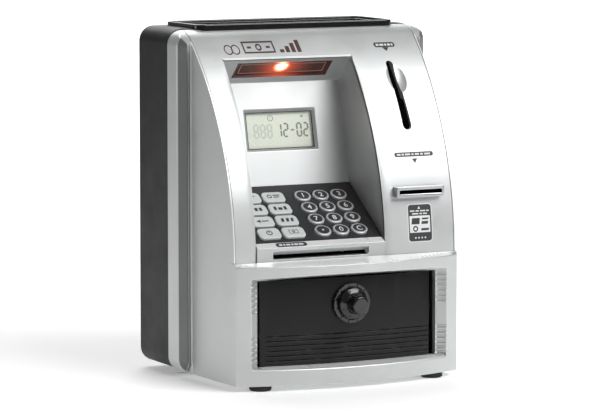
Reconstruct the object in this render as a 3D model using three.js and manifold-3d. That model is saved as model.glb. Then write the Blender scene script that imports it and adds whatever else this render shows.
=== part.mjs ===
// A toy cash-machine savings bank: a silver front shell with a curved fascia, a sunk console
// with a display and a sloping keypad, a coin slot, a card slot and a motorised bill slot, a
// bowed lower box with a dial-locked door, a black rear shell, a tray on top and four feet.
// Millimetres. +Z is up, the front faces -Y, X runs across. The origin is the middle of the
// footprint on the standing surface.
import * as THREE from "three";
import { mergeVertices } from "three/addons/utils/BufferGeometryUtils.js";
import Module from "manifold-3d";

const wasm = await Module();
wasm.setup();

// ---------------------------------------------------------------- driving dimensions

const WALL = 2.4; // moulded wall thickness
const GAP = 0.3; // clearance between neighbouring pieces

const HALF_WIDTH = 100; // at the flange, the widest place
const BASE_Z = 3.8; // underside of the shells
const TOP_Z = 250; // flat top of the front shell
const REAR_TOP_Z = 250.8; // top of the rear shell
const SHELL_CORNER = 11; // corner radius of the shells seen from the front

const BACK_Y = 81.3;
const PARTING_Y = 29; // where the front and rear shells meet
const FLANGE_Y = 9.4; // front face of the wide flange
const CORNER_Y = -60.3; // front corners of the lower box
const FASCIA_Y = -57.6; // foot of the curved fascia
const BOW = 16.6; // how far the lower box bows out past its corners
const ROOT_HALF = 90.9; // half width of the body where it leaves the flange
const FLANGE_ROUND = 3.2; // rounding of the flange's front edge
const REAR_ROUND = 2.5; // rounding of the rear shell's back edge
const BEAD = { width: 2.2, height: 0.8 }; // bead down each side wall, against the flange
const DRAFT = 0.036; // the body narrows by this much per mm towards the front

const FASCIA_RADIUS = 209.1; // curve of the fascia from foot to brow
const FASCIA_START_Z = 89.36; // height at which the fascia stands upright
const BROW_RADIUS = 24; // rounds the fascia into the flat top
const FASCIA_END_Y = 22; // rear edge of the fascia, under the tray's rim
const FASCIA_STEPS = 14; // flats that make up the fascia curve
const BROW_STEPS = 5;
const BOW_STEPS = 16; // flats that make up the bowed front of the lower box
const FASCIA_REVEAL = 1; // shell wall left showing beside the fascia
const LEDGE_BACK_Z = 90.3;
const LEDGE_FRONT_Z = 88.1;
const FASCIA_FOOT_Z = 90.2; // the fascia stands in a shallow groove in the ledge
const SHELF_BACK_Y = -50;

const CONSOLE = { left: -70.8, right: 31.6, wall: 2 };
const CEILING_FRONT = { y: -3.3, z: 230 };
const CEILING_REAR = { y: 17.2, z: 211.2 };
const PANEL_FOOT = { y: 0, z: 138.8 };
const DECK_FOOT = { y: -52.45, z: 103.7 };

const DISPLAY = { x0: -47.5, x1: 9.8, v0: 24, v1: 54.8 };
const LAMP = { x0: -57.1, x1: 18.8, v0: 5.8, v1: 22.9, ledX: -19.5, ledV: 14.5 };
const BEVEL = 1.9; // width and depth of the bevels round the two windows

const KEY_TRAVEL = 1.2;
const KEY_RISE = 1.6; // key tops above the keypad
const KEY_ROW_FIRST = 8.5;
const KEY_ROW_PITCH = 13;
const KEY_SIZE = { digit: { w: 12.8, h: 11.2, x: -12.8, pitch: 14.5 } };
KEY_SIZE.menu = { w: 17.4, h: 11, x: -55.3, pitch: 19.1 };

const BILL_SLOT = { x0: -57.4, x1: 17, z0: 92, z1: 94.9 };
const COIN_SLOT = { x: 60, z0: 177.8, z1: 225.6, topWidth: 5, footWidth: 6.4 };
const CARD_SLOT = { x0: 42.4, x1: 76.6, z: 134.8, height: 2.8 };

const DOOR_OPENING = { half: 70.7, z0: 16.5, z1: 77.9, y: -58.9 };
const DOOR = { half: 69.4, right: 66.4, z0: 17, z1: 77.4, bow: 5.2, thick: 2.6 };
const HINGE = { x: -66, y: -57.6, r: 1.2 };
const DIAL = { z: 58.9, shaft: 3 };

const TRAY = { half: 80, y0: 20.5, y1: 78.5, top: 253.8, corner: 8, floor: 246.5 };
const TRAY_NECK = 4.2; // from the tray's rim to the edge of the hole it drops into
const SCOOP = { x: 60.6, z: 213.5, radius: 13, depth: 3.1, padRadius: 11 };
const LIP = { width: 3.3, thick: 2, rearY: 13 }; // what the fascia rests on, behind its edges
const STOP = { reach: 5.6, thick: 2 }; // ledge that the door closes against
const BOSS = { outer: 4, bore: 1.9 }; // front bosses for the case screws
const POST = { outer: 5, well: 3.7, bore: 1.9, shelfY: 40 }; // rear posts and their screw wells
const FOOT = { x: 68.6, front: -58.5, rear: 63, r: 8 };
const SCREW = { x: 90, low: 20, high: 234 };
const FEED = { y: -30, bill: 93.4, roller: 5, shaft: 2, teeth: 12, pinionTeeth: 8 };
const BATTERY = { r: 7.1, length: 50.5, pitch: 15.6, firstZ: 28.4, y: 70.2 };
const POCKET = { half: 29.4, z0: 19.6, z1: 68.4, y: 61.6, rim: 3.4 };
const COVER = { half: 31, z0: 18, z1: 70, tabHalf: 6, tabTop: 80, thick: 1.6, screwZ: 75.6 };
const SPEAKER = { z: 190, r: 20 };
const GRILLE = { rows: 3, pitch: 4.4, reach: 16, slot: 2 };

// ---------------------------------------------------------------- solids

const X = new THREE.Vector3(1, 0, 0);
const Y = new THREE.Vector3(0, 1, 0);
const Z = new THREE.Vector3(0, 0, 1);
const ACROSS = new THREE.Matrix4().makeBasis(Y, Z, X); // outline in Y and Z, length along X
const BACKWARD = new THREE.Matrix4().makeBasis(X, Z, Y.clone().negate()); // outline in X and Z

// A three.js geometry as a solid that can be joined and cut.
function solid(geometry) {
  const bare = geometry.index ? geometry.toNonIndexed() : geometry.clone();
  bare.deleteAttribute("normal");
  bare.deleteAttribute("uv");
  const merged = mergeVertices(bare, 1e-4);
  const mesh = new wasm.Mesh({
    numProp: 3,
    vertProperties: merged.getAttribute("position").array,
    triVerts: new Uint32Array(merged.index.array),
  });
  return new wasm.Manifold(mesh);
}

function box(x0, x1, y0, y1, z0, z1) {
  const geometry = new THREE.BoxGeometry(x1 - x0, y1 - y0, z1 - z0);
  return solid(geometry.translate((x0 + x1) / 2, (y0 + y1) / 2, (z0 + z1) / 2));
}

function extrude(shape, depth, segments = 6) {
  const options = { depth, bevelEnabled: false, curveSegments: segments };
  return new THREE.ExtrudeGeometry(shape, options);
}

// Outlines pushed along X, Y or Z from one place to another.
function alongX(shape, x0, x1, segments) {
  return solid(extrude(shape, x1 - x0, segments).applyMatrix4(ACROSS).translate(x0, 0, 0));
}

function alongY(shape, y0, y1, segments) {
  return solid(extrude(shape, y1 - y0, segments).applyMatrix4(BACKWARD).translate(0, y1, 0));
}

function alongZ(shape, z0, z1, segments) {
  return solid(extrude(shape, z1 - z0, segments).translate(0, 0, z0));
}

function outline(points) {
  return new THREE.Shape(points.map(([a, b]) => new THREE.Vector2(a, b)));
}

function roundedRect(a0, a1, b0, b1, r) {
  const shape = new THREE.Shape();
  shape.absarc(a1 - r, b1 - r, r, 0, Math.PI / 2);
  shape.absarc(a0 + r, b1 - r, r, Math.PI / 2, Math.PI);
  shape.absarc(a0 + r, b0 + r, r, Math.PI, Math.PI * 1.5);
  shape.absarc(a1 - r, b0 + r, r, Math.PI * 1.5, Math.PI * 2);
  return shape;
}

function ellipse(halfWidth, halfHeight) {
  const shape = new THREE.Shape();
  shape.absellipse(0, 0, halfWidth, halfHeight, 0, Math.PI * 2);
  return shape;
}

// A round bar from one place to another along X, Y or Z, centred on the other two coordinates.
function bar(axis, a, b, r, from, to, segments = 20) {
  const geometry = new THREE.CylinderGeometry(r, r, to - from, segments);
  const middle = (from + to) / 2;
  if (axis === "x") geometry.rotateZ(Math.PI / 2).translate(middle, a, b);
  if (axis === "y") geometry.translate(a, middle, b);
  if (axis === "z") geometry.rotateX(Math.PI / 2).translate(a, b, middle);
  return solid(geometry);
}

// A turned piece whose axis is Y: the profile lists [radius, y] from one end to the other.
function turned(profile, segments = 28) {
  const points = profile.map(([r, y]) => new THREE.Vector2(r, y));
  return solid(new THREE.LatheGeometry(points, segments));
}

// A box whose far end (the larger y) and near end are different rectangles.
function tapered(near, yNear, far, yFar) {
  const geometry = new THREE.BoxGeometry(1, 1, 1);
  const position = geometry.getAttribute("position");
  for (let i = 0; i < position.count; i += 1) {
    const end = position.getY(i) < 0 ? near : far;
    const x = position.getX(i) < 0 ? end.x0 : end.x1;
    const z = position.getZ(i) < 0 ? end.z0 : end.z1;
    position.setXYZ(i, x, position.getY(i) < 0 ? yNear : yFar, z);
  }
  return solid(geometry);
}

function union(...pieces) {
  return pieces.reduce((all, piece) => all.add(piece));
}

function cut(from, ...pieces) {
  return pieces.reduce((left, piece) => left.subtract(piece), from);
}

const mirrored = (piece) => piece.mirror([1, 0, 0]);

// ---------------------------------------------------------------- the scene graph

const bank = new THREE.Group();
bank.name = "toy_atm_bank";

const PLASTIC = {
  silver: { color: 0xc4c6c6, roughness: 0.38, metalness: 0.25 },
  paleSilver: { color: 0xd4d6d6, roughness: 0.42, metalness: 0.15 },
  black: { color: 0x1b1c1d, roughness: 0.45, metalness: 0 },
  glossBlack: { color: 0x0d0e10, roughness: 0.14, metalness: 0 },
  key: { color: 0x2c2e31, roughness: 0.4, metalness: 0 },
  white: { color: 0xe9e9e4, roughness: 0.5, metalness: 0 },
  rubber: { color: 0x151515, roughness: 0.85, metalness: 0 },
  lens: { color: 0x4a1410, roughness: 0.12, metalness: 0 },
  clear: { color: 0xdfe6dc, roughness: 0.05, metalness: 0 },
  display: { color: 0xb9c2ab, roughness: 0.3, metalness: 0 },
  lamp: { color: 0xff3a1c, roughness: 0.2, metalness: 0 },
  board: { color: 0x1f6a3a, roughness: 0.55, metalness: 0 },
  chrome: { color: 0xd9dcdf, roughness: 0.12, metalness: 1 },
  steel: { color: 0xa8acb0, roughness: 0.35, metalness: 0.9 },
  cell: { color: 0x8f6a2a, roughness: 0.35, metalness: 0.4 },
};

// Turns a solid into a named mesh in a group.
function addPiece(parent, name, finish, piece) {
  const made = piece.getMesh();
  const geometry = new THREE.BufferGeometry();
  const positions = new Float32Array((made.vertProperties.length / made.numProp) * 3);
  for (let i = 0; i * 3 < positions.length; i += 1) {
    const start = i * made.numProp;
    positions.set(made.vertProperties.subarray(start, start + 3), i * 3);
  }
  geometry.setAttribute("position", new THREE.BufferAttribute(positions, 3));
  geometry.setIndex(new THREE.BufferAttribute(new Uint32Array(made.triVerts), 1));
  geometry.computeVertexNormals();
  const mesh = new THREE.Mesh(geometry, new THREE.MeshStandardMaterial(PLASTIC[finish]));
  mesh.name = name;
  parent.add(mesh);
  return mesh;
}

// A group with its origin at a point of the side outline, its Y up the slope and its Z out
// of the surface.
function slopedGroup(point, angle) {
  const group = new THREE.Group();
  group.position.set(0, point.y, point.z);
  group.rotation.x = angle;
  bank.add(group);
  return group;
}

const slopeAngle = (from, to) => Math.atan2(to.z - from.z, to.y - from.y);
const deckAngle = slopeAngle(DECK_FOOT, PANEL_FOOT);
const panelAngle = slopeAngle(PANEL_FOOT, CEILING_REAR);
const ceilingAngle = slopeAngle(CEILING_REAR, CEILING_FRONT);
const deck = slopedGroup(DECK_FOOT, deckAngle);
const panel = slopedGroup(PANEL_FOOT, panelAngle);
const ceiling = slopedGroup(CEILING_REAR, ceilingAngle);

// The same solids placed by a sloped group, for joining them to others in the bank's frame.
function placed(group, piece) {
  group.updateMatrix();
  return piece.transform(group.matrix.elements);
}

const deckLength = Math.hypot(PANEL_FOOT.y - DECK_FOOT.y, PANEL_FOOT.z - DECK_FOOT.z);
const panelLength = Math.hypot(CEILING_REAR.y - PANEL_FOOT.y, CEILING_REAR.z - PANEL_FOOT.z);
const ceilingLength = Math.hypot(CEILING_FRONT.y - CEILING_REAR.y, CEILING_FRONT.z - CEILING_REAR.z);

// ---------------------------------------------------------------- the side outline

const fasciaCentreY = FASCIA_Y + FASCIA_RADIUS;
const bodyHalf = (y) => ROOT_HALF - DRAFT * Math.max(0, FLANGE_Y - y);

// Depth of the fascia's face at a height, a distance inside its outer surface.
function fasciaAt(z, inset = 0) {
  const r = FASCIA_RADIUS - inset;
  return fasciaCentreY - Math.sqrt(r * r - (z - FASCIA_START_Z) ** 2);
}

// The side outline of everything above the ledge, from the fascia's foot over the brow to the
// rear, a distance inside the outer surface.
function bodyOutline(inset, footZ, rearY) {
  const browZ = TOP_Z - BROW_RADIUS;
  const reach = FASCIA_RADIUS - BROW_RADIUS;
  const browY = fasciaCentreY - Math.sqrt(reach ** 2 - (browZ - FASCIA_START_Z) ** 2);
  const blend = Math.atan2(browZ - FASCIA_START_Z, browY - fasciaCentreY);
  const r = FASCIA_RADIUS - inset;
  const foot = Math.PI - Math.asin((footZ - FASCIA_START_Z) / r);
  const shape = new THREE.Shape();
  shape.moveTo(rearY, TOP_Z - inset);
  shape.lineTo(browY, TOP_Z - inset);
  for (let i = 1; i <= BROW_STEPS; i += 1) {
    const a = Math.PI / 2 + ((blend - Math.PI / 2) * i) / BROW_STEPS;
    const size = BROW_RADIUS - inset;
    shape.lineTo(browY + size * Math.cos(a), browZ + size * Math.sin(a));
  }
  for (let i = 1; i <= FASCIA_STEPS; i += 1) {
    const a = blend + ((foot - blend) * i) / FASCIA_STEPS;
    shape.lineTo(fasciaCentreY + r * Math.cos(a), FASCIA_START_Z + r * Math.sin(a));
  }
  shape.lineTo(rearY, footZ);
  return shape;
}

function bodySolid(inset, footZ, rearY = 60, half = 110) {
  return alongX(bodyOutline(inset, footZ, rearY), -half, half);
}

// Half of a plan arc: depth at x of a face that bows forward between two edges.
function bowed(x, half, edgeY, bow) {
  const r = (half * half + bow * bow) / (2 * bow);
  return edgeY - bow + r - Math.sqrt(r * r - x * x);
}

function bowedEdge(half, edgeY, bow, steps) {
  const points = [];
  for (let i = 0; i <= steps; i += 1) {
    const x = -half + (2 * half * i) / steps;
    points.push([x, bowed(x, half, edgeY, bow)]);
  }
  return points;
}

// ---------------------------------------------------------------- front shell

const cornerHalf = bodyHalf(CORNER_Y);

// The plan of the body, without the flange; a bead runs down each side wall at its root.
function bodyPlan(inset, rearY, bead) {
  const root = ROOT_HALF - inset;
  const half = (sign) => [
    [sign * root, FLANGE_Y - BEAD.width - BEAD.height],
    [sign * (root + bead), FLANGE_Y - BEAD.width],
    [sign * (root + bead), rearY],
  ];
  const edge = bowedEdge(cornerHalf - inset, CORNER_Y + inset, BOW, BOW_STEPS);
  return outline([...edge, ...half(1), ...half(-1).reverse()]);
}

// A rounded slab across the whole width, its edges rounded towards the front and the back.
function roundedSlab(half, z0, z1, corner, frontY, backY, round, segments, cornerSegments) {
  const shape = roundedRect(-half + round, half - round, z0 + round, z1 - round, corner - round);
  const geometry = new THREE.ExtrudeGeometry(shape, {
    depth: backY - frontY - 2 * round,
    bevelThickness: round,
    bevelSize: round,
    bevelSegments: segments,
    curveSegments: cornerSegments,
  });
  return solid(geometry.applyMatrix4(BACKWARD).translate(0, backY - round, 0));
}

// What fills the shell's outside (inset 0) or its hollow (inset WALL).
function shellFill(inset, rearY) {
  const half = HALF_WIDTH - inset;
  const [z0, z1] = [BASE_Z + inset, TOP_Z - inset];
  const front = FLANGE_Y + inset;
  const flange = inset
    ? alongY(roundedRect(-half, half, z0, z1, SHELL_CORNER - inset), front, rearY, 3)
    : roundedSlab(half, z0, z1, SHELL_CORNER, front, rearY + 20, FLANGE_ROUND, 3, 4);
  const ledge = inset ? LEDGE_FRONT_Z - inset : LEDGE_BACK_Z;
  const lower = box(-110, 110, -95, inset ? SHELF_BACK_Y : FASCIA_Y, 0, ledge);
  const middle = box(-110, 110, inset ? SHELF_BACK_Y : FASCIA_Y, 60, 0, LEDGE_BACK_Z);
  const side = union(lower, middle, bodySolid(inset, LEDGE_BACK_Z - 1));
  const body = alongZ(bodyPlan(inset, front + 2, inset ? 0 : BEAD.height), z0, z1);
  return union(body, flange).intersect(side).intersect(box(-110, 110, -95, rearY, 0, 260));
}

// The ledge slopes from the fascia's foot down to the bowed front edge.
function aboveLedge() {
  const edge = bowedEdge(cornerHalf + 0.02, CORNER_Y, BOW, BOW_STEPS);
  const rows = edge.map(([x, y]) => [
    [x, FASCIA_Y - GAP, LEDGE_BACK_Z],
    [x, y, LEDGE_FRONT_Z],
    [x, y - 4, LEDGE_FRONT_Z],
    [x, y - 4, LEDGE_BACK_Z + 4],
    [x, FASCIA_Y - GAP, LEDGE_BACK_Z + 4],
  ]);
  const size = rows[0].length;
  const index = [];
  for (let i = 0; i < BOW_STEPS; i += 1) {
    for (let j = 0; j < size; j += 1) {
      const a = i * size + j;
      const b = i * size + ((j + 1) % size);
      index.push(a, a + size, b, b, a + size, b + size);
    }
  }
  const last = BOW_STEPS * size;
  for (let j = 1; j + 1 < size; j += 1) {
    index.push(0, j, j + 1, last, last + j + 1, last + j);
  }
  const geometry = new THREE.BufferGeometry();
  geometry.setAttribute("position", new THREE.Float32BufferAttribute(rows.flat(2), 3));
  geometry.setIndex(index);
  return solid(geometry);
}

// The flared mouth round the door, and the same grown by a wall for the frame that carries it.
const FLARE_SIDE = 7.3 / 5.1; // sideways per mm of depth
const FLARE_TOP = 0.18;
const FLARE_SILL = 0.06;

function flare(grow, rearY) {
  const frontY = -80;
  const far = rearY - DOOR_OPENING.y;
  const near = frontY - DOOR_OPENING.y;
  const at = (depth) => ({
    x0: -DOOR_OPENING.half - grow + FLARE_SIDE * depth,
    x1: DOOR_OPENING.half + grow - FLARE_SIDE * depth,
    z0: DOOR_OPENING.z0 - grow + FLARE_SILL * depth,
    z1: DOOR_OPENING.z1 + 0.4 + grow - FLARE_TOP * depth,
  });
  return tapered(at(near), frontY, at(far), rearY);
}

// Short horizontal flutes in the flared side walls, in an upper and a lower bank.
const FLUTES = { pitch: 3.75, rows: 6, lowerZ: 18.3, upperZ: 56.4, height: 1.3, depth: 0.7 };

function flutes() {
  const reach = 5.4;
  const plan = outline([
    [DOOR_OPENING.half - 1, DOOR_OPENING.y - 0.3],
    [DOOR_OPENING.half + FLUTES.depth, DOOR_OPENING.y - 0.3],
    [DOOR_OPENING.half + FLUTES.depth + FLARE_SIDE * reach, DOOR_OPENING.y - reach],
    [DOOR_OPENING.half - 1 + FLARE_SIDE * reach, DOOR_OPENING.y - reach],
  ]);
  const cuts = [];
  for (const first of [FLUTES.lowerZ, FLUTES.upperZ]) {
    for (let i = 0; i < FLUTES.rows; i += 1) {
      const z = first + i * FLUTES.pitch;
      const groove = alongZ(plan, z - FLUTES.height / 2, z + FLUTES.height / 2);
      cuts.push(groove, mirrored(groove));
    }
  }
  return cuts;
}

function frontHousing() {
  const outside = shellFill(0, PARTING_Y).subtract(aboveLedge());
  const shell = outside.subtract(shellFill(WALL, PARTING_Y + 1));

  // The fascia drops into a rebate, and rests on a lip behind it.
  const half = (y) => bodyHalf(y) - FASCIA_REVEAL;
  const seatFront = FASCIA_Y - GAP;
  const seat = outline([
    [-half(seatFront), seatFront],
    [half(seatFront), seatFront],
    [half(FLANGE_Y), FLANGE_Y],
    [half(FLANGE_Y), FASCIA_END_Y + GAP],
    [-half(FLANGE_Y), FASCIA_END_Y + GAP],
    [-half(FLANGE_Y), FLANGE_Y],
  ]);
  const rebate = alongZ(seat, FASCIA_FOOT_Z - GAP, TOP_Z + 5).subtract(bodySolid(WALL + GAP, 80));
  const lipSkin = bodySolid(WALL + GAP, LEDGE_BACK_Z - 1).subtract(
    bodySolid(WALL + GAP + LIP.thick, LEDGE_BACK_Z - 2),
  );
  const lipHalf = half(CORNER_Y) - LIP.width;
  const lipInside = box(-lipHalf, lipHalf, -90, LIP.rearY, 0, TOP_Z + 5);
  const lipOutside = alongZ(bodyPlan(FASCIA_REVEAL + 0.2, 26, 0), LEDGE_BACK_Z - 1, TOP_Z);
  const lip = lipSkin.intersect(lipOutside).subtract(lipInside);

  // The frame round the door opening.
  const sleeveRear = HINGE.y + 2.4;
  const frame = union(
    flare(WALL, DOOR_OPENING.y + 1),
    box(
      -DOOR_OPENING.half - WALL,
      DOOR_OPENING.half + WALL,
      DOOR_OPENING.y,
      sleeveRear,
      DOOR_OPENING.z0 - WALL,
      DOOR_OPENING.z1 + WALL,
    ),
  ).intersect(outside);
  const doorway = box(
    -DOOR_OPENING.half,
    DOOR_OPENING.half,
    -70,
    -40,
    DOOR_OPENING.z0,
    DOOR_OPENING.z1,
  );
  const doorStop = box(
    DOOR_OPENING.half - STOP.reach,
    DOOR_OPENING.half + WALL,
    sleeveRear - 0.4,
    sleeveRear + STOP.thick - 0.4,
    DOOR_OPENING.z0 - WALL,
    DOOR_OPENING.z1 + WALL,
  );
  const pinHoles = bar("z", HINGE.x, HINGE.y, HINGE.r + GAP, 8, 84, 16);

  // Bosses that take the case screws.
  const bosses = [];
  const bores = [];
  for (const x of [-SCREW.x, SCREW.x]) {
    for (const z of [SCREW.low, SCREW.high]) {
      bosses.push(bar("y", x, z, BOSS.outer, FLANGE_Y + 1, PARTING_Y - 1, 16));
      bores.push(bar("y", x, z, BOSS.bore, FLANGE_Y + 3, PARTING_Y + 1, 12));
    }
  }

  const joined = union(shell.subtract(rebate), lip, frame, ...bosses);
  const opened = cut(joined, flare(0, DOOR_OPENING.y), doorway, pinHoles, trayHole(), ...bores);
  return cut(union(opened, doorStop), ...flutes());
}

function trayHole() {
  const half = TRAY.half - TRAY_NECK;
  const [y0, y1] = [TRAY.y0 + TRAY_NECK, TRAY.y1 - TRAY_NECK];
  return alongZ(roundedRect(-half, half, y0, y1, TRAY.corner - 3), TRAY.floor - 4, TOP_Z + 5, 4);
}

// ---------------------------------------------------------------- curved fascia

// A stadium-shaped slot that widens towards its foot.
function coinSlotCutter() {
  const { x, z0, z1, topWidth, footWidth } = COIN_SLOT;
  const shape = new THREE.Shape();
  shape.absarc(x, z1 - topWidth / 2, topWidth / 2, 0, Math.PI);
  shape.absarc(x, z0 + footWidth / 2, footWidth / 2, Math.PI, Math.PI * 2);
  return alongY(shape, -80, 30, 5);
}

// The thumb scoop: a shallow dish centred on the slot's upper half.
function coinScoop() {
  const lean = Math.asin((SCOOP.z - FASCIA_START_Z) / FASCIA_RADIUS);
  const out = SCOOP.radius - SCOOP.depth;
  const ball = new THREE.SphereGeometry(SCOOP.radius, 20, 14);
  ball.translate(SCOOP.x, fasciaAt(SCOOP.z) - out * Math.cos(lean), SCOOP.z + out * Math.sin(lean));
  return solid(ball);
}

function fasciaPanel() {
  const half = (y) => bodyHalf(y) - FASCIA_REVEAL - GAP;
  const plan = outline([
    [-half(-95), -95],
    [half(-95), -95],
    [half(FLANGE_Y), FLANGE_Y],
    [half(FLANGE_Y), FASCIA_END_Y],
    [-half(FLANGE_Y), FASCIA_END_Y],
    [-half(FLANGE_Y), FLANGE_Y],
  ]);
  const foot = FASCIA_FOOT_Z;
  const skin = alongZ(plan, foot, TOP_Z + 5)
    .intersect(bodySolid(0, foot))
    .subtract(bodySolid(WALL, foot - 20));
  const opening = box(CONSOLE.left, CONSOLE.right, -90, 30, foot - 5, CEILING_FRONT.z);
  // The scoop is backed by a dished pad so that the wall keeps its thickness there.
  const face = fasciaAt(SCOOP.z);
  const pad = bar("y", SCOOP.x, SCOOP.z, SCOOP.padRadius, face - 2, face + 9, 20)
    .intersect(bodySolid(0.5, foot))
    .subtract(bodySolid(WALL + 2.6, foot - 20));
  const cardHole = box(
    CARD_SLOT.x0 - 1.9,
    CARD_SLOT.x1 + 1.9,
    -70,
    -40,
    CARD_SLOT.z - CARD_SLOT.height / 2 - 2.1,
    CARD_SLOT.z + CARD_SLOT.height / 2 + 2.1,
  );
  return cut(union(skin, pad), opening, coinScoop(), coinSlotCutter(), cardHole);
}

// ---------------------------------------------------------------- rear shell

function rearCase() {
  const half = HALF_WIDTH - 0.6; // the rear shell stands a little inside the flange
  const z0 = BASE_Z + 0.5;
  const z1 = REAR_TOP_Z;
  const front = PARTING_Y + GAP;
  const w = WALL;
  const slab = roundedSlab(half, z0, z1, SHELL_CORNER, front - 10, BACK_Y, REAR_ROUND, 2, 4);
  const outside = slab.intersect(box(-110, 110, front, 90, 0, 260));
  const inside = roundedSlab(half - w, z0 + w, z1 - w, SHELL_CORNER - w, 10, BACK_Y - w, 1.5, 1, 3);
  const { half: pocket, rim } = POCKET;
  const housing = box(
    -pocket - rim,
    pocket + rim,
    POCKET.y - COVER.thick,
    BACK_Y - 1,
    POCKET.z0 - rim,
    POCKET.z1 + rim,
  );
  const rebateY = BACK_Y - COVER.thick - GAP;
  const edge = COVER.half + GAP;
  const tab = COVER.tabHalf + GAP;
  const adds = [housing, bar("y", 0, COVER.screwZ, 4.4, 66, BACK_Y - 1, 16)];
  const cuts = [
    box(-pocket, pocket, POCKET.y, 90, POCKET.z0, POCKET.z1),
    box(-edge, edge, rebateY, 90, COVER.z0 - GAP, COVER.z1 + GAP),
    box(-tab, tab, rebateY, 90, COVER.z1 - 10, COVER.tabTop + GAP),
    bar("y", 0, COVER.screwZ, 1.7, 68, 90, 12),
    trayHole(),
  ];
  for (const x of [-SCREW.x, SCREW.x]) {
    const wall = Math.sign(x) * (half - 1.4); // a rib ties each post to the side wall
    for (const z of [SCREW.low, SCREW.high]) {
      adds.push(bar("y", x, z, POST.outer, PARTING_Y + 2, BACK_Y - 1, 16));
      adds.push(box(Math.min(x, wall), Math.max(x, wall), 33, 79, z - 1, z + 1));
      cuts.push(bar("y", x, z, POST.well, POST.shelfY, 90, 16));
      cuts.push(bar("y", x, z, POST.bore, 20, 60, 12));
    }
  }
  for (let i = -GRILLE.rows; i <= GRILLE.rows; i += 1) {
    const reach = Math.sqrt(GRILLE.reach ** 2 - (i * GRILLE.pitch) ** 2);
    const z = SPEAKER.z + i * GRILLE.pitch;
    cuts.push(box(-reach, reach, 70, 90, z - GRILLE.slot / 2, z + GRILLE.slot / 2));
  }
  return cut(union(outside.subtract(inside), ...adds).intersect(outside), ...cuts);
}

// ---------------------------------------------------------------- tray on top

function topTray() {
  const { half, y0, y1, top, corner, floor } = TRAY;
  const ring = (d) => roundedRect(-half + d, half - d, y0 + d, y1 - d, corner - d * 0.6);
  const rearShell = box(-110, 110, PARTING_Y - 1, 90, 100, REAR_TOP_Z + GAP);
  const shells = union(bodySolid(-GAP, 100, 90), rearShell);
  const rim = alongZ(ring(0), top - 7, top, 5).subtract(shells);
  const basin = alongZ(ring(4.6), floor - 1.6, top - 1.3, 5);
  const hollow = alongZ(ring(2.6), top - 1.15, top + 5, 5);
  const bowl = alongZ(ring(6.2), floor, top + 5, 5);
  return cut(union(rim, basin), hollow, bowl);
}

// ---------------------------------------------------------------- sunk console

function consoleInsert() {
  const { left, right, wall } = CONSOLE;
  const front = WALL + GAP;
  const cheek = [];
  const cheekFoot = 97;
  const cheekTop = 232;
  for (let i = 0; i <= 10; i += 1) {
    const z = cheekFoot + ((cheekTop - cheekFoot) * i) / 10;
    cheek.push([fasciaAt(z, front) + 0.02 * i, z]);
  }
  cheek.push([CEILING_REAR.y + wall, CEILING_REAR.z + wall]);
  cheek.push([PANEL_FOOT.y + wall, PANEL_FOOT.z - 6]);
  cheek.push([DECK_FOOT.y + 6, cheekFoot]);
  const side = outline(cheek);
  const cheeks = union(alongX(side, left - wall, left), alongX(side, right, right + wall));
  const behindFascia = bodySolid(front, 60);
  const roof = placed(ceiling, box(left - wall, right + wall, 0, ceilingLength + 8, -wall, 0));
  const back = placed(panel, box(left - wall, right + wall, -1.2, panelLength + 1.5, -wall, 0));
  const rails = placed(
    deck,
    union(
      box(left - 1, left + 1.6, 2, deckLength - 1, -5.4, -WALL - GAP),
      box(right - 1.6, right + 1, 2, deckLength - 1, -5.4, -WALL - GAP),
    ),
  );
  const post = (x, v) => bar("z", x, v, 2.2, -10, -1, 10);
  const posts = placed(panel, union(post(-64, 12), post(26, 12), post(-64, 64), post(26, 64)));
  // A window opening, straight behind and bevelled wider towards its face.
  const opening = ({ x0, x1, v0, v1 }) => {
    const straight = box(x0 + BEVEL, x1 - BEVEL, v0 + BEVEL, v1 - BEVEL, -6, 0);
    const geometry = new THREE.BoxGeometry(1, 1, 1);
    const position = geometry.getAttribute("position");
    for (let i = 0; i < position.count; i += 1) {
      const face = position.getZ(i) > 0;
      const d = face ? -BEVEL * 0.2 : BEVEL;
      const x = position.getX(i) < 0 ? x0 + d : x1 - d;
      const v = position.getY(i) < 0 ? v0 + d : v1 - d;
      position.setXYZ(i, x, v, face ? BEVEL * 0.2 : -BEVEL);
    }
    return union(straight, solid(geometry));
  };
  const windows = union(placed(panel, opening(DISPLAY)), placed(ceiling, opening(LAMP)));
  const body = union(cheeks, union(roof, back).intersect(behindFascia), rails, posts);
  const passage = box(left, right, -80, PANEL_FOOT.y, 60, 101);
  return cut(body, windows, passage);
}

// ---------------------------------------------------------------- windows and display

// A flat sheet behind one of the console's windows, in that window's sloped group.
function behindWindow({ x0, x1, v0, v1 }, margin, near, far) {
  return box(x0 - margin, x1 + margin, v0 - margin, v1 + margin, far, near);
}

const paneNear = -CONSOLE.wall - GAP;
const paneFar = paneNear - 1.4;

function mainBoard() {
  const board = box(-68, 29.6, 8, 68, -11.9, -10.3);
  const hole = (x, v) => bar("z", x, v, 1.3, -14, -8, 10);
  return cut(board, hole(-64, 12), hole(26, 12), hole(-64, 64), hole(26, 64));
}

// ---------------------------------------------------------------- keypad

const keyRow = (row) => KEY_ROW_FIRST + KEY_ROW_PITCH * row;
const digitX = (column) => KEY_SIZE.digit.x + KEY_SIZE.digit.pitch * column;
const menuX = (column) => KEY_SIZE.menu.x + KEY_SIZE.menu.pitch * column;

// The outline of a key of either kind, grown by a margin.
function keyShape(kind, grow) {
  const w = KEY_SIZE[kind].w / 2 + grow;
  const h = KEY_SIZE[kind].h / 2 + grow;
  return kind === "digit" ? ellipse(w, h) : roundedRect(-w, w, -h, h, 3.4 + grow);
}

const KEY_FACETS = { digit: 9, menu: 1 };

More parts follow.
